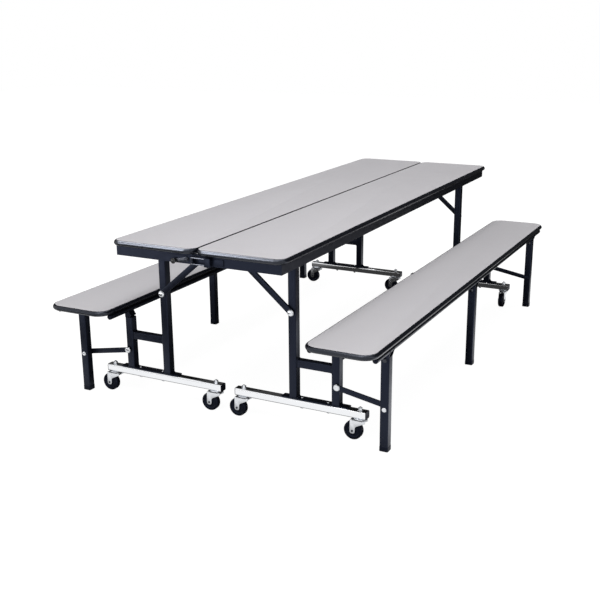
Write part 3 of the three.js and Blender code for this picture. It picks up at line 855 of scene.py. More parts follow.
@dataclass
class Brace(Corner):
    """A brace from the tall upright to the top's slotted pivot plate, with its upper pin."""

    half: float = 12.0 * MM
    deep: float = 10.0 * MM
    edge: float = 1.6 * MM
    plate: float = 4.0 * MM
    run_gap: float = 0.4 * MM
    pin_washer: float = 8.6 * MM
    pin_head: float = 7.6 * MM
    pin_high: float = 3.0 * MM

    def build(self) -> None:
        """Makes the brace as a round-ended bar, and the head of its upper pin."""
        node = f"brace_{self.tag}"
        body = f"braces_{self.side.tag}"
        low, high = node_box(node)
        foot = hinge_place(f"brace_swing_{self.side.tag}")
        seam = low[0] if self.side is Side.RIGHT else high[0]
        pin = (seam + self.side.value * self.half, high[2] - self.half)
        inner = np.abs((low[1], high[1])).min()
        faces = sorted((self.way * inner, self.way * (inner + self.deep)))
        bar = slab(tapered_bar(foot, pin, self.half, self.half), *faces, self.edge, Axis.Y)
        add_piece(f"brace_bar_{self.tag}", [bar], POWDER_COAT, body, (node,))
        face = self.way * (inner + self.deep + self.plate + 2 * self.run_gap)
        head = bolt_shells(pin, face, self.way, self.pin_washer, self.pin_head, self.pin_high)
        add_piece(f"brace_pin_{self.tag}", head, BLACK_OXIDE, body)


@dataclass
class UnderTop:
    """What hangs under a half top: its apron with the end caps, the pivot plates and the braces."""

    side: Side
    cap: float = 7.4 * MM
    cap_wall: float = 4.0 * MM
    cap_past: float = 0.2 * MM
    cap_corner: float = 1.5 * MM
    cap_edge: float = 0.6 * MM

    def build(self) -> None:
        """Makes the plastic caps that finish the apron's ends at the seam, then both braces."""
        low, high = node_box(f"apron_{self.side.tag}")
        seam = low[0] if self.side is Side.RIGHT else high[0]
        reach = sorted((seam - self.side.value * self.cap, seam + self.side.value * self.cap))
        edge = rounded_rectangle((reach[0], low[2]), (reach[1], high[2]), self.cap_corner)
        walls = ((low[1], low[1] + self.cap_wall), (high[1] - self.cap_wall, high[1]))
        past = self.cap_past
        caps = [slab(edge, face - past, back + past, self.cap_edge, Axis.Y) for face, back in walls]
        add_piece(f"apron_caps_{self.side.tag}", caps, NYLON, f"top_{self.side.tag}")
        for end in End:
            Brace(self.side, end).build()

    def dress(self) -> None:
        """Coats the apron and the plates."""
        dress_node(f"apron_{self.side.tag}", POWDER_COAT)
        for end in End:
            dress_node(f"pivot_plate_{self.side.tag}_{end.tag}", POWDER_COAT)


@dataclass
class BenchRails:
    """The two round rails under a bench, with their end plugs."""

    side: Side
    radius: float = 10.7 * MM
    height: float = 399.2 * MM
    lanes: tuple[float, float] = (450.5 * MM, 708.0 * MM)
    plug: float = 7.0 * MM
    plug_share: float = 0.98
    rolled: float = 0.8 * MM
    round_steps: int = 28

    def build(self) -> None:
        """Makes each rail as a round tube over its CAD solid, ends rolled in, with a domed plug in each."""
        body = f"bench_{self.side.tag}"
        for lane, x in zip(Lane, self.lanes):
            tag = f"{lane.tag}_{self.side.tag}"
            low, high = node_box(f"bench_rail_{tag}")
            centre = (self.side.value * x, self.height)
            profile = bevelled(self.radius, low[1], high[1], self.rolled)
            tube = turned(profile, centre, Axis.Y, self.round_steps)
            add_piece(f"rail_tube_{tag}", [tube], POWDER_COAT, body)
            ends = ((low[1], -1.0), (high[1], 1.0))
            domes = [dome(self.radius * self.plug_share, self.plug, face, way) for face, way in ends]
            plugs = [turned(plug, centre, Axis.Y, self.round_steps) for plug in domes]
            add_piece(f"rail_plugs_{tag}", plugs, NYLON, body)

    def dress(self) -> None:
        """Coats the rails' lugs and brackets."""
        for lane in Lane:
            dress_node(f"bench_rail_{lane.tag}_{self.side.tag}", POWDER_COAT)


@dataclass
class EndFrame(Corner):
    """A welded end frame of rounded tube, with its link, bolts and weld beads."""

    bolt: float = 12.4 * MM
    bolt_gap: float = 0.2 * MM
    brace_bolt_high: float = 5.0 * MM
    link_bolt_high: float = 4.5 * MM
    washer: float = 13.4 * MM
    stud: float = 5.5 * MM
    stud_high: float = 4.0 * MM
    stud_flat: float = 13.0 * MM
    stud_drop: float = 6.0 * MM
    stud_edge: float = 0.5 * MM
    stud_tip: float = 4.0 * MM
    stud_tip_high: float = 3.0 * MM
    studs: tuple[float, float] = (329.0 * MM, 443.0 * MM)
    plate: float = 4.7 * MM
    plate_past: float = 36.0 * MM
    uprights: tuple[float, float] = (296.5 * MM, 480.0 * MM)
    upright_tops: tuple[float, float] = (695.0 * MM, 350.0 * MM)
    upright_half: float = 16.5 * MM
    tube_round: float = 4.0 * MM
    tube_edge: float = 0.8 * MM
    flat_edge: float = 0.6 * MM
    bar: tuple[float, float] = (256.0 * MM, 288.0 * MM)
    bar_half: float = 15.0 * MM
    bar_round: float = 3.0 * MM
    bar_edge: float = 0.2 * MM
    bead: float = 2.2 * MM
    bead_swell: float = 7.0
    drop_pitch: float = 4.0 * MM
    bar_bead_round: float = 1.0 * MM
    foot_bead_steps: int = 120
    bar_bead_steps: int = 100
    gusset: float = 14.0 * MM
    gusset_half: float = 3.0 * MM
    gusset_edge: float = 0.5 * MM
    gusset_steps: int = 42
    ear: float = 9.0 * MM
    ear_deep: float = 6.0 * MM
    arm_half: float = 7.0 * MM
    arm_eye: float = 8.5 * MM
    arm_bulge: float = 29.0 * MM
    arm_root: float = 50.0 * MM
    arm_deep: float = 6.0 * MM
    link_half: float = 11.0 * MM
    link_edge: float = 1.2 * MM

    @property
    def foot(self) -> float:
        """Height of the foot plate's lower face."""
        return node_box(f"end_frame_{self.tag}")[0][2]

    @property
    def deck(self) -> float:
        """Height of the foot plate's upper face."""
        return self.foot + self.plate

    @property
    def faces(self) -> np.ndarray:
        """Lower and higher Y of the frame, which are its base tube's."""
        return node_box(f"base_tube_{self.tag}")[:, 1]

    @property
    def middle(self) -> float:
        """Y of the frame's middle plane."""
        return self.faces.sum() / 2

    def build(self) -> None:
        """Makes the tubes and fittings, the weld beads, the foot plate's studs, the link and the bolts."""
        shells = self.tubes() + self.gussets() + self.hinge_fittings()
        add_piece(f"frame_tubes_{self.tag}", shells, POWDER_COAT, "frames", (f"end_frame_{self.tag}",))
        add_piece(f"weld_beads_{self.tag}", self.foot_beads() + self.bar_beads(), POWDER_COAT, "frames")
        add_piece(f"foot_studs_{self.tag}", self.stud_shells(), ZINC, "frames")
        self.build_link()
        self.build_bolts()

    def upright_section(self, upright: float) -> np.ndarray:
        """An upright's rounded section in X and Y."""
        left, right = (self.side.value * upright + way * self.upright_half for way in (-1, 1))
        return rounded_rectangle((left, self.faces[0]), (right, self.faces[1]), self.tube_round)

    def bar_section(self, radius: float) -> np.ndarray:
        """The cross bar's rounded section in Y and Z."""
        left, right = self.middle - self.bar_half, self.middle + self.bar_half
        return rounded_rectangle((left, self.bar[0]), (right, self.bar[1]), radius)

    def bar_ends(self) -> list[float]:
        """Where the cross bar meets the inner faces of the uprights, along X."""
        inner = (self.uprights[0] + self.upright_half, self.uprights[1] - self.upright_half)
        return [self.side.value * x for x in inner]

    def tubes(self) -> list[Shell]:
        """Both uprights, the cross bar and the foot plate, each a rounded section with softened ends.

        Returns:
            The shells.
        """
        shells = [
            slab(self.upright_section(upright), self.deck, top, self.tube_edge, Axis.Z)
            for upright, top in zip(self.uprights, self.upright_tops)
        ]
        bar = self.bar_section(self.bar_round)
        shells.append(slab(bar, *sorted(self.bar_ends()), self.bar_edge, Axis.X))
        past = self.upright_half + self.plate_past
        ends = sorted(self.side.value * x for x in (self.uprights[0] - past, self.uprights[1] + past))
        pad = rounded_rectangle((ends[0], self.faces[0]), (ends[1], self.faces[1]), self.tube_round)
        shells.append(slab(pad, self.foot, self.deck, self.tube_edge, Axis.Z))
        return shells

    def gussets(self) -> list[Shell]:
        """A three-cornered gusset on the foot plate, against the outer face of each upright.

        Returns:
            The shells.
        """
        sign = self.side.value
        deck = self.deck
        sides = (self.middle - self.gusset_half, self.middle + self.gusset_half)
        shells = []
        for upright, lean in zip(self.uprights, (-1, 1)):
            face = upright + lean * self.upright_half
            wedge = np.array([[face, deck], [face + lean * self.gusset, deck], [face, deck + self.gusset]])
            wedge[:, 0] *= sign
            outline = resampled(wedge[::sign * lean], self.gusset_steps)
            shells.append(slab(outline, *sides, self.gusset_edge, Axis.Y))
        return shells

    def hinge_fittings(self) -> list[Shell]:
        """The tilt hinge's ear, and the bench hinge's arm: three bars from the hinge to the short upright.

        Returns:
            The shells.
        """
        sign = self.side.value
        inner, outer = self.faces[::self.end.value]
        tilt = hinge_place(f"top_tilt_{self.side.tag}")
        ear = tapered_bar(np.array([sign * self.uprights[0], tilt[1]]), tilt, self.ear, self.ear)
        shells = [slab(ear, *sorted((outer, outer - self.way * self.ear_deep)), self.flat_edge, Axis.Y)]
        hinge = hinge_place(f"bench_fold_{self.side.tag}") * np.array([sign, 1.0])
        bend = hinge + np.array([self.arm_bulge, -self.arm_bulge])
        root = np.array([self.uprights[1], self.upright_tops[1] - self.arm_root])
        turn = np.array([bend[0], root[1] + bend[0] - root[0]])
        depth = sorted((inner, inner - self.way * self.arm_deep))
        path = (hinge, bend, turn, root)
        widths = (self.arm_eye, self.arm_half, self.arm_half)
        for start, finish, width in zip(path, path[1:], widths):
            strip = tapered_bar(start, finish, width, self.arm_half) * np.array([sign, 1.0])
            shells.append(slab(strip[::sign], *depth, self.flat_edge, Axis.Y))
        return shells

    def stud_shells(self) -> list[Shell]:
        """Domed studs on the foot plate, and their nuts under the base tube.

        Returns:
            The shells.
        """
        under = BaseTube.low
        nut_low = under - self.stud_drop
        head = dome(self.stud, self.stud_high, self.deck, 1.0)
        tip = dome(self.stud_tip, self.stud_tip_high, nut_low, -1.0)
        shells = []
        for stud in self.studs:
            place = (self.side.value * stud, self.middle)
            shells.append(turned(head, place, Axis.Z, steps=24))
            shells.append(slab(hexagon(self.stud_flat, place), nut_low, under, self.stud_edge, Axis.Z))
            shells.append(turned(tip, place, Axis.Z, steps=20))
        return shells

    def build_link(self) -> None:
        """Makes the link as a round-ended bar from the short upright to the bench leg."""
        node = f"link_{self.tag}"
        swing = hinge_place(f"link_swing_{self.side.tag}")
        strip = tapered_bar(swing, link_head(self.side), self.link_half, self.link_half)
        bar = slab(strip, *node_box(node)[:, 1], self.link_edge, Axis.Y)
        add_piece(f"link_bar_{self.tag}", [bar], POWDER_COAT, f"links_{self.side.tag}", (node,))

    def build_bolts(self) -> None:
        """Makes the bright bolts that the brace and the link turn on."""
        brace_face = np.abs(node_box(f"brace_{self.tag}")[:, 1]).min() + Brace.deep
        link_face = np.abs(node_box(f"link_{self.tag}")[:, 1]).max()
        shells = []
        for joint, face, high in (
            ("brace_swing", brace_face, self.brace_bolt_high),
            ("link_swing", link_face, self.link_bolt_high),
        ):
            place = hinge_place(f"{joint}_{self.side.tag}")
            base = self.way * (face + self.bolt_gap)
            shells += bolt_shells(place, base, self.way, self.washer, self.bolt, high)
        add_piece(f"frame_bolts_{self.tag}", shells, ZINC, "frames")

    def rippled(self, loop: np.ndarray) -> Shell:
        """A weld bead along a closed flat loop, swelling and thinning along its run like stacked drops.

        The radius is the bead's times one plus sin(2 pi times the run over the drop pitch) over the swell.

        Args:
            loop: Points by three, in order round the loop.

        Returns:
            The closed shell.
        """
        run = np.cumsum(np.linalg.norm(np.roll(loop, -1, axis=0) - loop, axis=1))
        drops = np.round(run[-1] / self.drop_pitch)
        radius = self.bead * (1 + np.sin(2 * np.pi * drops * run / run[-1]) / self.bead_swell)
        return piped(loop, radius, steps=8, looped=True)

    def foot_beads(self) -> list[Shell]:
        """Beads round both uprights where they stand on the foot plate."""
        rings = [resampled(self.upright_section(upright), self.foot_bead_steps) for upright in self.uprights]
        return [self.rippled(placed(ring[:, 0], ring[:, 1], self.deck, Axis.Z)) for ring in rings]

    def bar_beads(self) -> list[Shell]:
        """Beads round the cross bar where it meets each upright."""
        ring = resampled(self.bar_section(self.bar_bead_round), self.bar_bead_steps)
        return [self.rippled(placed(ring[:, 0], ring[:, 1], face, Axis.X)) for face in self.bar_ends()]


@dataclass
class BaseTube(Corner):
    """A chrome base tube with its end plugs and caster stem nuts."""

    tall: float = 31.0 * MM
    low: float = 92.0 * MM
    round_edge: float = 6.0 * MM
    cut_edge: float = 0.4 * MM
    plug: float = 2.4 * MM
    plug_edge: float = 0.9 * MM
    nut_flat: float = 16.0 * MM
    nut_high: float = 8.0 * MM
    nut_edge: float = 0.6 * MM
    stem: float = 4.8 * MM
    stem_high: float = 5.0 * MM
    washer: float = 11.0 * MM
    washer_high: float = 1.5 * MM
    stems: tuple[float, float] = (66.0 * MM, 577.0 * MM)

    def build(self) -> None:
        """Makes the tube as a rounded section along X, then its plugs and nuts."""
        node = f"base_tube_{self.tag}"
        low, high = node_box(node)
        outline = rounded_rectangle((low[1], self.low), (high[1], self.low + self.tall), self.round_edge)
        left, right = low[0] + self.plug, high[0] - self.plug
        tube = slab(outline, left, right, self.cut_edge, Axis.X)
        add_piece(f"base_chrome_{self.tag}", [tube], CHROME, "frames", (node,))
        ends = ((low[0], left), (right, high[0]))
        plugs = [slab(outline, *end, self.plug_edge, Axis.X) for end in ends]
        add_piece(f"base_plugs_{self.tag}", plugs, NYLON, "frames")
        add_piece(f"stem_nuts_{self.tag}", self.nuts((low[1] + high[1]) / 2), ZINC, "frames")

    def nuts(self, middle: float) -> list[Shell]:
        """A washer, a hexagon nut and the stem's end over each caster.

        Args:
            middle: Y of the tube's middle.

        Returns:
            The shells of both nuts.
        """
        deck = self.low + self.tall
        seat = deck + self.washer_high
        crown = seat + self.nut_high
        ring = bevelled(self.washer, deck, seat, self.washer_high / 4)
        tip = dome(self.stem, self.stem_high, crown, 1.0)
        shells = []
        for stem in self.stems:
            place = (self.side.value * stem, middle)
            shells.append(turned(ring, place, Axis.Z, steps=28))
            shells.append(slab(hexagon(self.nut_flat, place), seat, crown, self.nut_edge, Axis.Z))
            shells.append(turned(tip, place, Axis.Z, steps=20))
        return shells


@dataclass
class Caster(Corner):
    """A swivel caster: pressed fork with ball race, tread, hub and axle bolt.

    Profiles are of radius and height in millimetres: the ball race's over its foot, and the hub's in from
    the wheel's face.
    """

    lane: Lane
    trail: float = 27.0 * MM
    wheel: float = 38.0 * MM
    wide: float = 24.0 * MM
    run_gap: float = 1.5 * MM
    cheek: float = 3.0 * MM
    cheek_edge: float = 0.8 * MM
    cheek_rounds_mm: tuple[float, ...] = (3.0, 3.0, 10.6, 10.6, 9.0, 2.0)
    crown_back: float = 37.0 * MM
    crown_front: float = 25.0 * MM
    crown_round: float = 9.0 * MM
    crown_edge: float = 1.5 * MM
    skirt: float = 4.5 * MM
    boss: float = 11.0 * MM
    leg: float = 17.0 * MM
    race_high: float = 91.7 * MM
    race_tall: float = 7.5 * MM
    yoke: float = 4.5 * MM
    axle_nut: float = 11.0 * MM
    axle_nut_high: float = 3.4 * MM
    axle_nut_edge: float = 0.5 * MM
    axle_head: float = 4.6 * MM
    axle_head_high: float = 3.0 * MM
    shoulder: float = 4.5 * MM
    shoulder_steps: int = 6
    tread_crown: float = 0.25 * MM
    tread_bore: float = 28.5 * MM
    tread_lip: float = 30.0 * MM
    tread_dish: float = 2.0 * MM
    cup: Profile = ((20.0, 0.0), (24.0, 0.3), (26.0, 1.6), (26.0, 2.4), (24.8, 2.6))
    lid: Profile = ((24.6, 6.0), (26.0, 6.2), (26.0, 7.2), (25.4, 7.5))
    seal: Profile = ((23.0, 2.4), (25.2, 2.6), (25.9, 3.5), (25.9, 5.1), (25.2, 6.0), (23.0, 6.2))
    hub: Profile = (
        (4.4, 0.8), (10.5, 0.8), (11.5, 1.6), (14.5, 5.0), (24.0, 5.6), (27.0, 3.0), (28.6, 2.2),
    )

    @property
    def tag(self) -> str:
        """This caster's part of the node names."""
        return f"{super().tag}_{self.lane.tag}"

    def stood(self, shells: list[Shell]) -> list[Shell]:
        """Puts shells drawn about the swivel axis, trailing along -X, where this caster stands at rest.

        The flat coordinates are turned by the heading from axle to stem, then moved to the stem.

        Args:
            shells: The shells as drawn.

        Returns:
            The shells in the row frame.
        """
        axle, stem = (joint_place(f"{joint}_{self.tag}")[:2] for joint in ("roll", "swivel"))
        back = (stem - axle) / np.linalg.norm(stem - axle)
        heading = np.array([[back[0], -back[1]], [back[1], back[0]]])
        made = []
        for shell in shells:
            flat = shell.points[:, :2] @ heading.T + stem
            points = np.concatenate([flat, shell.points[:, 2:]], axis=1)
            made.append(outward(Shell(points, shell.quads, shell.caps)))
        return made

    def build(self) -> None:
        """Makes the fork, its race seal, the axle bolt, the tread and the hub."""
        tag = self.tag
        fork, wheel = f"fork_{tag}", f"wheel_{tag}"
        add_piece(f"fork_{tag}", self.stood(self.fork_shells()), ZINC, fork, (f"caster_fork_{tag}",))
        add_piece(f"race_seal_{tag}", self.stood([self.race_ring(self.seal)]), NYLON, fork)
        add_piece(f"axle_bolt_{tag}", self.stood(self.axle_shells()), BLACK_OXIDE, fork)
        add_piece(f"tread_{tag}", self.stood([self.tread_shell()]), TREAD, wheel, (f"caster_wheel_{tag}",))
        add_piece(f"hub_{tag}", self.stood([self.hub_shell()]), NYLON, wheel)

    def outer_face(self) -> float:
        """Distance of the cheeks' outer faces from the wheel's middle."""
        return self.wide / 2 + self.run_gap + self.cheek

    def race_ring(self, profile: Profile) -> Shell:
        """A ring of the ball race about the stem, from its profile over the race's foot."""
        points = np.array(profile) * MM + np.array([0.0, self.race_high - self.race_tall])
        return turned(points, (0.0, 0.0), Axis.Z, steps=44)

    def wheel_ring(self, face: np.ndarray, steps: int) -> Shell:
        """A ring about the axle, from the profile of one face and the same profile on the other."""
        profile = np.concatenate([face, face[::-1] * np.array([1.0, -1.0])])
        return turned(profile, (-self.trail, self.wheel), Axis.Y, steps, looped=True)

    def fork_shells(self) -> list[Shell]:
        """Race cup and lid, crown plate and two cheeks, each a straight leg that widens into the crown.

        Returns:
            The shells, about the swivel axis.
        """
        outer = self.outer_face()
        inner = outer - self.cheek
        race_low = self.race_high - self.race_tall
        yoke_low = race_low - self.yoke
        low_z = self.wheel - self.boss
        back_x, front_x = -self.trail - self.boss, -self.trail + self.boss
        corners = np.array([
            [self.crown_front, race_low], [-self.crown_back, race_low], [back_x, low_z], [front_x, low_z],
            [front_x, self.wheel + self.leg], [self.crown_front, yoke_low - self.skirt],
        ])
        cheek = filleted(corners, np.array(self.cheek_rounds_mm) * MM)
        crown = rounded_rectangle((-self.crown_back, -outer), (self.crown_front, outer), self.crown_round)
        return [
            self.race_ring(self.cup),
            self.race_ring(self.lid),
            slab(crown, yoke_low, race_low, self.crown_edge, Axis.Z),
            slab(cheek, -outer, -inner, self.cheek_edge, Axis.Y),
            slab(cheek, inner, outer, self.cheek_edge, Axis.Y),
        ]

    def axle_shells(self) -> list[Shell]:
        """The axle bolt's domed head on one cheek and its hexagon nut on the other.

        Returns:
            The shells, about the swivel axis.
        """
        outer = self.outer_face()
        axle = (-self.trail, self.wheel)
        nut = hexagon(self.axle_nut, axle)
        return [
            slab(nut, outer, outer + self.axle_nut_high, self.axle_nut_edge, Axis.Y),
            turned(dome(self.axle_head, self.axle_head_high, -outer, -1.0), axle, Axis.Y, steps=28),
        ]

    def tread_shell(self) -> Shell:
        """The tyre: a crowned tread with rounded shoulders round an open middle.

        A shoulder goes out by its size times sin a and in by its size times (1 - cos a), over a quarter
        turn.

        Returns:
            The shell, about the swivel axis.
        """
        half = self.wide / 2
        shoulder = self.shoulder
        turn = np.linspace(0, np.pi / 2, self.shoulder_steps)
        curve = self.wheel - shoulder + shoulder * np.sin(turn) - self.tread_crown * np.cos(turn)
        radius = np.concatenate([[self.tread_bore, self.tread_lip], curve])
        wall = -half + shoulder - shoulder * np.cos(turn)
        height = np.concatenate([[-half + self.tread_dish, -half], wall])
        return self.wheel_ring(np.stack([radius, height], axis=-1), steps=56)

    def hub_shell(self) -> Shell:
        """The nylon core: a dished web between rim and boss."""
        face = np.array(self.hub) * MM + np.array([0.0, -self.wide / 2])
        return self.wheel_ring(face, steps=48)


@dataclass
class Leg:
    """A bench leg with its pivot bolt, link bolt and foot glide."""

    side: Side
    spot: Spot
    glide: float = 20.0 * MM
    glide_lap: float = 1.0 * MM
    glide_edge: float = 1.5 * MM
    wall: float = 0.7 * MM
    tube_round: float = 4.0 * MM
    tube_edge: float = 0.8 * MM
    link_gap: float = 0.4 * MM
    bracket: float = 4.0 * MM
    washer: float = 9.2 * MM
    head: float = 8.4 * MM
    pivot_high: float = 3.2 * MM
    link_high: float = 3.6 * MM

    @property
    def way(self) -> float:
        """Plus or minus one, the way along Y that leads out of the table from an end leg."""
        return float(self.spot.value)

    def node(self) -> str:
        """The leg's CAD node."""
        words = (self.side.tag, self.spot.tag)
        return "_".join(("leg", *(words[::-1] if self.spot is Spot.MIDDLE else words)))

    def span(self) -> tuple[float, float]:
        """Works out where the leg tube lies along Y: an end leg stands outside its link.

        Returns:
            The tube's middle and half its size.
        """
        low, high = node_box(self.node())
        half = (high[0] - low[0]) / 2
        if self.spot is Spot.MIDDLE:
            return (low[1] + high[1]) / 2, half
        plate = node_box(f"link_{self.side.tag}_{self.spot.tag}")
        back = self.way * (np.abs(plate[:, 1]).max() + self.link_gap)
        return back + self.way * half, half

    def build(self) -> None:
        """Makes the square tube, the foot glide and the bolts."""
        low, high = node_box(self.node())
        middle, half = self.span()
        body = f"legs_{self.side.tag}"
        name = f"{self.side.tag}_{self.spot.tag}"
        section, foot = (
            rounded_rectangle(
                (low[0] - wall, middle - half - wall), (high[0] + wall, middle + half + wall),
                self.tube_round + wall,
            )
            for wall in (0.0, self.wall)
        )
        tube = slab(section, self.glide - self.glide_lap, high[2], self.tube_edge, Axis.Z)
        add_piece(f"leg_tube_{name}", [tube], POWDER_COAT, body, (self.node(),))
        glide = slab(foot, 0.0, self.glide, self.glide_edge, Axis.Z)
        add_piece(f"foot_glide_{name}", [glide], NYLON, body)
        pivot = hinge_place(f"leg_swing_{self.side.tag}")
        shells = []
        for way in (-1.0, 1.0):
            face = middle + way * (half + self.bracket)
            shells += bolt_shells(pivot, face, way, self.washer, self.head, self.pivot_high)
        add_piece(f"pivot_bolts_{name}", shells, BLACK_OXIDE, body)
        if self.spot is not Spot.MIDDLE:
            face = middle + self.way * half
            bolt = bolt_shells(link_head(self.side), face, self.way, self.washer, self.head, self.link_high)
            add_piece(f"link_bolt_{name}", bolt, ZINC, body)


@dataclass
class Latch:
    """The latch across the seam: loop, keeper, lever and knob.

    The knob's ball is set by shares of the knob's reach, and its curve by shares of half a turn.
    """

    rod: float = 2.25 * MM
    rise: float = 12.0 * MM
    bend: float = 4.0 * MM
    bend_steps: int = 7
    rod_start: float = 48.0 * MM
    rod_back: float = 6.0 * MM
    apron_face: float = -1200.3 * MM
    block_x: tuple[float, float] = (47.0 * MM, 73.0 * MM)
    block_drop: float = 18.0 * MM
    block_rise: float = 16.0 * MM
    block_round: float = 3.0 * MM
    block_edge: float = 1.2 * MM
    plate_x: tuple[float, float] = (47.0 * MM, 123.0 * MM)
    plate_half: float = 13.0 * MM
    plate_round: float = 5.0 * MM
    plate_thick: float = 3.0 * MM
    plate_edge: float = 0.6 * MM
    lever_eye: float = 9.5 * MM
    lever_tip: float = 5.5 * MM
    lever_edge: float = 0.7 * MM
    neck_foot: float = 5.0 * MM
    neck_top: float = 4.6 * MM
    neck_share: float = 0.12
    ball_middle: float = 0.58
    ball_half: float = 0.42
    ball_arc: tuple[float, float] = (-0.35, 0.49)
    ball_steps: int = 14
    bolt_gap: float = 0.2 * MM
    bolt_washer: float = 8.2 * MM
    bolt_head: float = 7.4 * MM
    bolt_high: float = 3.0 * MM

    def build(self) -> list[bpy.types.Object]:
        """Makes the bent loop with its block, the lever and the knob.

        Returns:
            The pieces of bare steel that catch the edge lamps.
        """
        rod = add_piece("latch_loop_rod", self.loop_shells(), BLACK_OXIDE, "top_right", ("latch_loop",))
        add_piece("latch_block", self.block_shells(), POWDER_COAT, "top_right")
        return [rod, self.build_lever()]

    @property
    def middle(self) -> float:
        """Height of the latch's centre line."""
        return hinge_place("latch_turn")[1]

    @property
    def loop_low(self) -> np.ndarray:
        """Lowest corner of the loop's node."""
        return node_box("latch_loop")[0]

    def loop_shells(self) -> list[Shell]:
        """The two rods out from the block, each with a round bend, and the upright rod that joins them.

        A bend goes along by its radius times (1 - sin a) and back by its radius times (1 - cos a).

        Returns:
            The shells.
        """
        reach, front = self.loop_low[:2] + self.rod
        middle = self.middle
        back = front + self.rod_back
        turn = np.linspace(0, np.pi / 2, self.bend_steps)
        x = np.concatenate([[self.rod_start], reach + self.bend * (1 - np.sin(turn)), [reach]])
        y = np.concatenate([[front], front + self.bend * (1 - np.cos(turn)), [back]])
        levels = (middle - self.rise, middle + self.rise)
        shells = [piped(placed(x, level, y, Axis.Y), self.rod) for level in levels]
        upright = np.array([[self.rod, levels[0] - self.rod], [self.rod, levels[1] + self.rod]])
        shells.append(turned(upright, (reach, back), Axis.Z, steps=20))
        return shells

    def block_shells(self) -> list[Shell]:
        """The block that the rods are set in, and its plate on the apron.

        Returns:
            The shells.
        """
        middle, face = self.middle, self.apron_face
        block = rounded_rectangle(
            (self.block_x[0], middle - self.block_drop), (self.block_x[1], middle + self.block_rise),
            self.block_round,
        )
        plate = rounded_rectangle(
            (self.plate_x[0], middle - self.plate_half), (self.plate_x[1], middle + self.plate_half),
            self.plate_round,
        )
        return [
            slab(block, self.loop_low[1], face, self.block_edge, Axis.Y),
            slab(plate, face - self.plate_thick, face, self.plate_edge, Axis.Y),
        ]

    def build_lever(self) -> bpy.types.Object:
        """Makes the lever with its eye, and the knob on its end.

        Returns:
            The lever.
        """
        low, high = node_box("latch_knob")
        knob = ((low + high) / 2)[[0, 2]]
        strip = tapered_bar(hinge_place("latch_turn"), knob, self.lever_eye, self.lever_tip)
        bar = slab(strip, *node_box("latch_lever")[:, 1], self.lever_edge, Axis.Y)
        lever = add_piece("latch_lever_bar", [bar], BLACK_OXIDE, "latch_lever", ("latch_lever",))
        profile = self.knob_profile((high[0] - low[0]) / 2, high[1] - low[1])
        profile[:, 1] = high[1] - profile[:, 1]
        ball = turned(profile, knob, Axis.Y, steps=40)
        add_piece("latch_knob_ball", [ball], PHENOLIC, "latch_lever", ("latch_knob",))
        return lever

    def knob_profile(self, radius: float, reach: float) -> np.ndarray:
        """The knob's tapered neck and its ball: radius cos a against a share of the reach times sin a.

        Args:
            radius: Radius of the ball.
            reach: Length of the knob along its axis.

        Returns:
            Points of radius and height from the lever's end.
        """
        start, finish = self.ball_arc
        turn = np.linspace(start * np.pi, finish * np.pi, self.ball_steps)
        height = self.ball_middle * reach + self.ball_half * reach * np.sin(turn)
        neck = np.array([[self.neck_foot, 0.0], [self.neck_top, self.neck_share * reach]])
        return np.concatenate([neck, np.stack([radius * np.cos(turn), height], axis=-1)])

    def dress(self) -> None:
        """Coats the keeper and bolts the lever's pivot."""
        dress_node("latch_keeper", POWDER_COAT)
        eye = hinge_place("latch_turn")
        face = node_box("latch_lever")[0][1] - self.bolt_gap
        shells = bolt_shells(eye, face, -1.0, self.bolt_washer, self.bolt_head, self.bolt_high)
        add_piece("latch_pivot_bolt", shells, BLACK_OXIDE, "top_left")


@dataclass(frozen=True)
class Softbox:
    """One rectangular softbox: place, aim and size in metres, and spread in degrees."""

    name: str
    place: tuple[float, float, float]
    aim: tuple[float, float, float]
    size: tuple[float, float]
    watts: float
    spread: float = 180.0

    def build(self) -> bpy.types.Object:
        """Hangs the lamp at its place, facing its aim, out of the camera's sight.

        Returns:
            The lamp.
        """
        light = bpy.data.lights.new(self.name, "AREA")
        light.shape = "RECTANGLE"
        light.size, light.size_y = self.size
        light.energy = self.watts
        light.spread = math.radians(self.spread)
        lamp = bpy.data.objects.new(self.name, light)
        lamp.location = self.place
        lamp.rotation_euler = (Vector(self.aim) - Vector(self.place)).to_track_quat("-Z", "Y").to_euler()
        lamp.visible_camera = False
        bpy.context.scene.collection.objects.link(lamp)
        return lamp


@dataclass(frozen=True)
class MirrorZone:
    """A stretch of the floor whose brightness in gloss passes from one painted level to another: painted
    light and painted shade that only reflections show.

    It runs along X, Y or the distance beside the table, between two places in metres. Each of its two levels
    is a plain one or an earlier zone's.
    """

    name: str
    along: str
    start: float
    stop: float
    level: str
    next_level: str


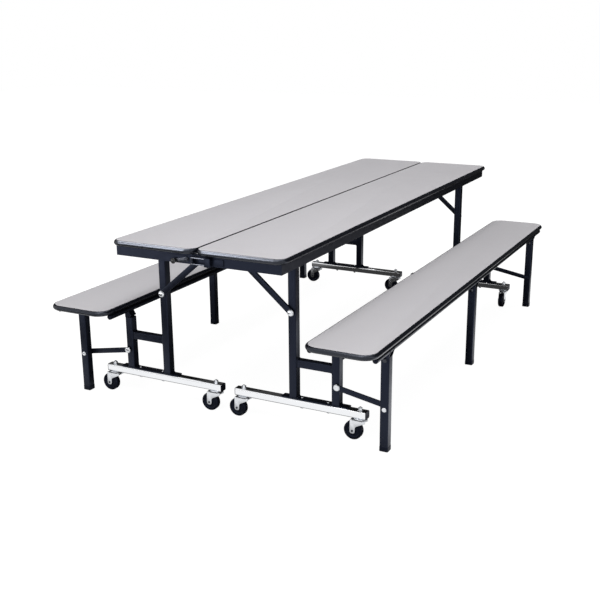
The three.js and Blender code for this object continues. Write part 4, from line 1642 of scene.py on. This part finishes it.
@dataclass
class Studio:
    """Floor, soft light, white surround and the camera."""

    camera_mm: tuple[float, float, float] = (1912.186, -4053.666, 1552.37)
    yaw: float = 0.478
    pitch: float = -0.289
    roll: float = -0.008
    focal_pixels: float = 951.568
    floor_paint: str = "#F2F2F2"
    floor_half: float = 14.0
    floor_share: float = 0.80
    floor_glow: float = 1.2
    # Painted levels of the floor's brightness in gloss, from painted shade to painted glare
    mirror_levels: tuple[tuple[str, float], ...] = (
        ("dark", 0.04), ("dim", 0.25), ("lit", 1.0), ("bright", 1.8), ("glare", 3.0),
    )
    # Painted zones of the floor in gloss: painted shade under the table standing in for its shadow, painted
    # light before, beside and behind it
    mirror_zones: tuple[MirrorZone, ...] = (
        MirrorZone("window", "X", -1.45, -1.85, "lit", "glare"),
        MirrorZone("before", "X", -0.55, -0.25, "dark", "lit"),
        MirrorZone("before", "X", 1.2, 1.5, "before", "dark"),
        MirrorZone("before", "Y", -2.9, -3.2, "before", "window"),
        MirrorZone("before", "Y", -1.55, -1.38, "before", "lit"),
        MirrorZone("aside", "X", 0.68, 0.80, "dark", "bright"),
        MirrorZone("aside", "X", -0.68, -0.80, "aside", "dim"),
        MirrorZone("aside", "Y", -0.5, 1.5, "aside", "dark"),
        MirrorZone("behind", "beside", 0.85, 1.0, "lit", "aside"),
        MirrorZone("behind", "Y", 1.6, 1.9, "behind", "aside"),
        MirrorZone("aside", "Y", 1.0, 1.1, "aside", "behind"),
        MirrorZone("floor", "Y", -1.15, -0.95, "before", "aside"),
    )
    ambient: float = 0.38
    behind: float = 0.05
    dusk: tuple[float, float] = (-0.1, 0.3)
    lamps: tuple[Softbox, ...] = (
        Softbox("key_softbox", (0.2, -2.7, 3.7), (0.0, -0.4, 0.6), (1.8, 1.8), 47.0),
        Softbox("top_softbox", (0.2, 1.0, 7.0), (0.1, 0.6, 0.5), (4.6, 4.6), 245.0),
        Softbox("side_softbox", (4.4, -2.4, 1.8), (0.2, 0.0, 0.4), (2.4, 2.4), 9.0),
    )
    edge_lamps: tuple[Softbox, ...] = (
        Softbox("edge_strip", (-2.0, -0.9, 3.5), (0.0, -1.2, 0.73), (3.4, 1.4), 30.0, 70.0),
        Softbox("edge_panel", (-1.75, -3.25, 2.4), (0.0, -1.2, 0.73), (1.2, 2.4), 26.0, 70.0),
    )

    def build(self) -> None:
        """Builds the set in order."""
        self.build_floor()
        self.build_surround()
        for lamp in self.lamps:
            lamp.build()
        self.build_camera()

    def light_edges(self, edges: list[bpy.types.Object]) -> None:
        """Hangs the lamps that put the long highlight on the tops' mouldings and the latch alone.

        Args:
            edges: The mouldings and the latch's bare steel.
        """
        lit = bpy.data.collections.new("edge_lamp_receivers")
        for edge in edges:
            lit.objects.link(edge)
        for softbox in self.edge_lamps:
            lamp = softbox.build()
            lamp.visible_diffuse = False
            lamp.light_linking.receiver_collection = lit

    def build_floor(self) -> None:
        """A pale floor that shows white and keeps a soft shadow, and that gloss sees with painted light and
        painted shade.
        """
        corners = [(-1, -1, 0), (1, -1, 0), (1, 1, 0), (-1, 1, 0)]
        mesh = bpy.data.meshes.new("studio_floor")
        mesh.from_pydata((self.floor_half * np.array(corners)).tolist(), [], [(0, 1, 2, 3)])
        floor = bpy.data.objects.new("studio_floor", mesh)
        bpy.context.scene.collection.objects.link(floor)
        material = bpy.data.materials.new("studio_floor_paint")
        material.use_nodes = True
        tree = material.node_tree
        tree.nodes.clear()
        paint = add_node(tree, "ShaderNodeBsdfDiffuse", {"Color": linear(self.floor_paint)})
        path = add_node(tree, "ShaderNodeLightPath").outputs
        # Glossy rays see the painted light and painted shade of the zones instead of the floor's lit paint
        strength = add_node(tree, "ShaderNodeMapRange", {
            "Value": path["Is Glossy Ray"], "To Min": self.floor_glow, "To Max": self.mirrored_floor(tree),
        }).outputs["Result"]
        glow = add_node(tree, "ShaderNodeEmission", {"Color": linear(WHITE), "Strength": strength})
        seen = add_node(tree, "ShaderNodeMath", {
            0: path["Is Camera Ray"], 1: self.floor_share,
        }, operation="MULTIPLY")
        share = add_node(tree, "ShaderNodeMath", {
            0: seen.outputs[0], 1: path["Is Glossy Ray"],
        }, operation="MAXIMUM")
        mixed = add_node(tree, "ShaderNodeMixShader", {
            0: share.outputs[0], 1: paint.outputs[0], 2: glow.outputs[0],
        })
        add_node(tree, "ShaderNodeOutputMaterial", {"Surface": mixed.outputs[0]})
        mesh.materials.append(material)

    def mirrored_floor(self, tree: bpy.types.NodeTree) -> bpy.types.NodeSocket:
        """How bright the floor looks in gloss, zone by zone, as painted light and painted shade rather than
        lit paint.

        The zones paint it lit before the table and in a strip behind it, brighter beside it on the right and
        dim on the left, dark under the table in place of its shadow and dark further out, with a painted
        glare far off to the front left.

        Args:
            tree: The floor's node tree.

        Returns:
            The strength socket.
        """
        place = add_node(tree, "ShaderNodeTexCoord").outputs["Object"]
        apart = add_node(tree, "ShaderNodeSeparateXYZ", {"Vector": place}).outputs
        beside = add_node(tree, "ShaderNodeMath", {0: apart["X"]}, operation="ABSOLUTE").outputs[0]
        places = {"X": apart["X"], "Y": apart["Y"], "beside": beside}
        levels = dict(self.mirror_levels)
        for zone in self.mirror_zones:
            levels[zone.name] = add_node(tree, "ShaderNodeMapRange", {
                "Value": places[zone.along], "From Min": zone.start, "From Max": zone.stop,
                "To Min": levels[zone.level], "To Max": levels[zone.next_level],
            }).outputs["Result"]
        return levels["floor"]

    def build_surround(self) -> None:
        """A world that the camera sees as white, and gloss as white before the table and dark behind it."""
        world = bpy.data.worlds.new("studio_surround")
        bpy.context.scene.world = world
        world.use_nodes = True
        tree = world.node_tree
        tree.nodes.clear()
        path = add_node(tree, "ShaderNodeLightPath")
        heading = add_node(tree, "ShaderNodeTexCoord").outputs["Generated"]
        along = add_node(tree, "ShaderNodeSeparateXYZ", {"Vector": heading}).outputs["Y"]
        mirrored = add_node(tree, "ShaderNodeMapRange", {
            "Value": along, "From Min": self.dusk[0], "From Max": self.dusk[1],
            "To Min": 1.0, "To Max": self.behind,
        }).outputs["Result"]
        shone = add_node(tree, "ShaderNodeMapRange", {
            "Value": path.outputs["Is Glossy Ray"], "To Min": self.ambient, "To Max": mirrored,
        }).outputs["Result"]
        strength = add_node(tree, "ShaderNodeMapRange", {
            "Value": path.outputs["Is Camera Ray"], "To Min": shone, "To Max": 1.0,
        })
        back = add_node(tree, "ShaderNodeBackground", {
            "Color": linear(WHITE), "Strength": strength.outputs["Result"],
        })
        add_node(tree, "ShaderNodeOutputWorld", {"Surface": back.outputs[0]})

    def build_camera(self) -> None:
        """The camera at the photograph's place: forward from yaw and pitch, then turned by the roll."""
        flat = math.cos(self.pitch)
        forward = Vector((-math.sin(self.yaw) * flat, math.cos(self.yaw) * flat, math.sin(self.pitch)))
        right = forward.cross(Vector((0, 0, 1))).normalized()
        up = right.cross(forward)
        level, tilt = math.cos(self.roll), math.sin(self.roll)
        across = right * level + up * tilt
        upright = up * level - right * tilt
        lens = bpy.data.cameras.new("photo_camera")
        lens.sensor_width = SENSOR_MM
        lens.lens = self.focal_pixels / IMAGE_PIXELS * SENSOR_MM
        camera = bpy.data.objects.new("photo_camera", lens)
        turn = Matrix((across, upright, -forward)).transposed().to_4x4()
        camera.matrix_world = Matrix.Translation(Vector(self.camera_mm) * MM) @ turn
        bpy.context.scene.collection.objects.link(camera)
        bpy.context.scene.camera = camera


def build_unit(side: Side) -> bpy.types.Object:
    """Builds and dresses one unit of the table.

    Args:
        side: Which unit.

    Returns:
        The moulding round its half top.
    """
    moulding = EdgedBoard(side, Board.TOP, corner=45.0 * MM, inner_share=0.4).build()
    EdgedBoard(side, Board.BENCH, corner=60.0 * MM).build()
    under = UnderTop(side)
    under.build()
    under.dress()
    rails = BenchRails(side)
    rails.build()
    rails.dress()
    for end in End:
        EndFrame(side, end).build()
        BaseTube(side, end).build()
        for lane in Lane:
            Caster(side, end, lane).build()
    for spot in Spot:
        Leg(side, spot).build()
    return moulding


def main() -> None:
    """Builds the set, both units and the latch."""
    logging.basicConfig(level=logging.INFO, format="%(name)s: %(message)s")
    studio = Studio()
    studio.build()
    mouldings = [build_unit(side) for side in Side]
    latch = Latch()
    studio.light_edges(mouldings + latch.build())
    latch.dress()
    bpy.context.scene.view_settings.view_transform = "Standard"
    bpy.context.view_layer.update()


if __name__ == "__main__":
    main()
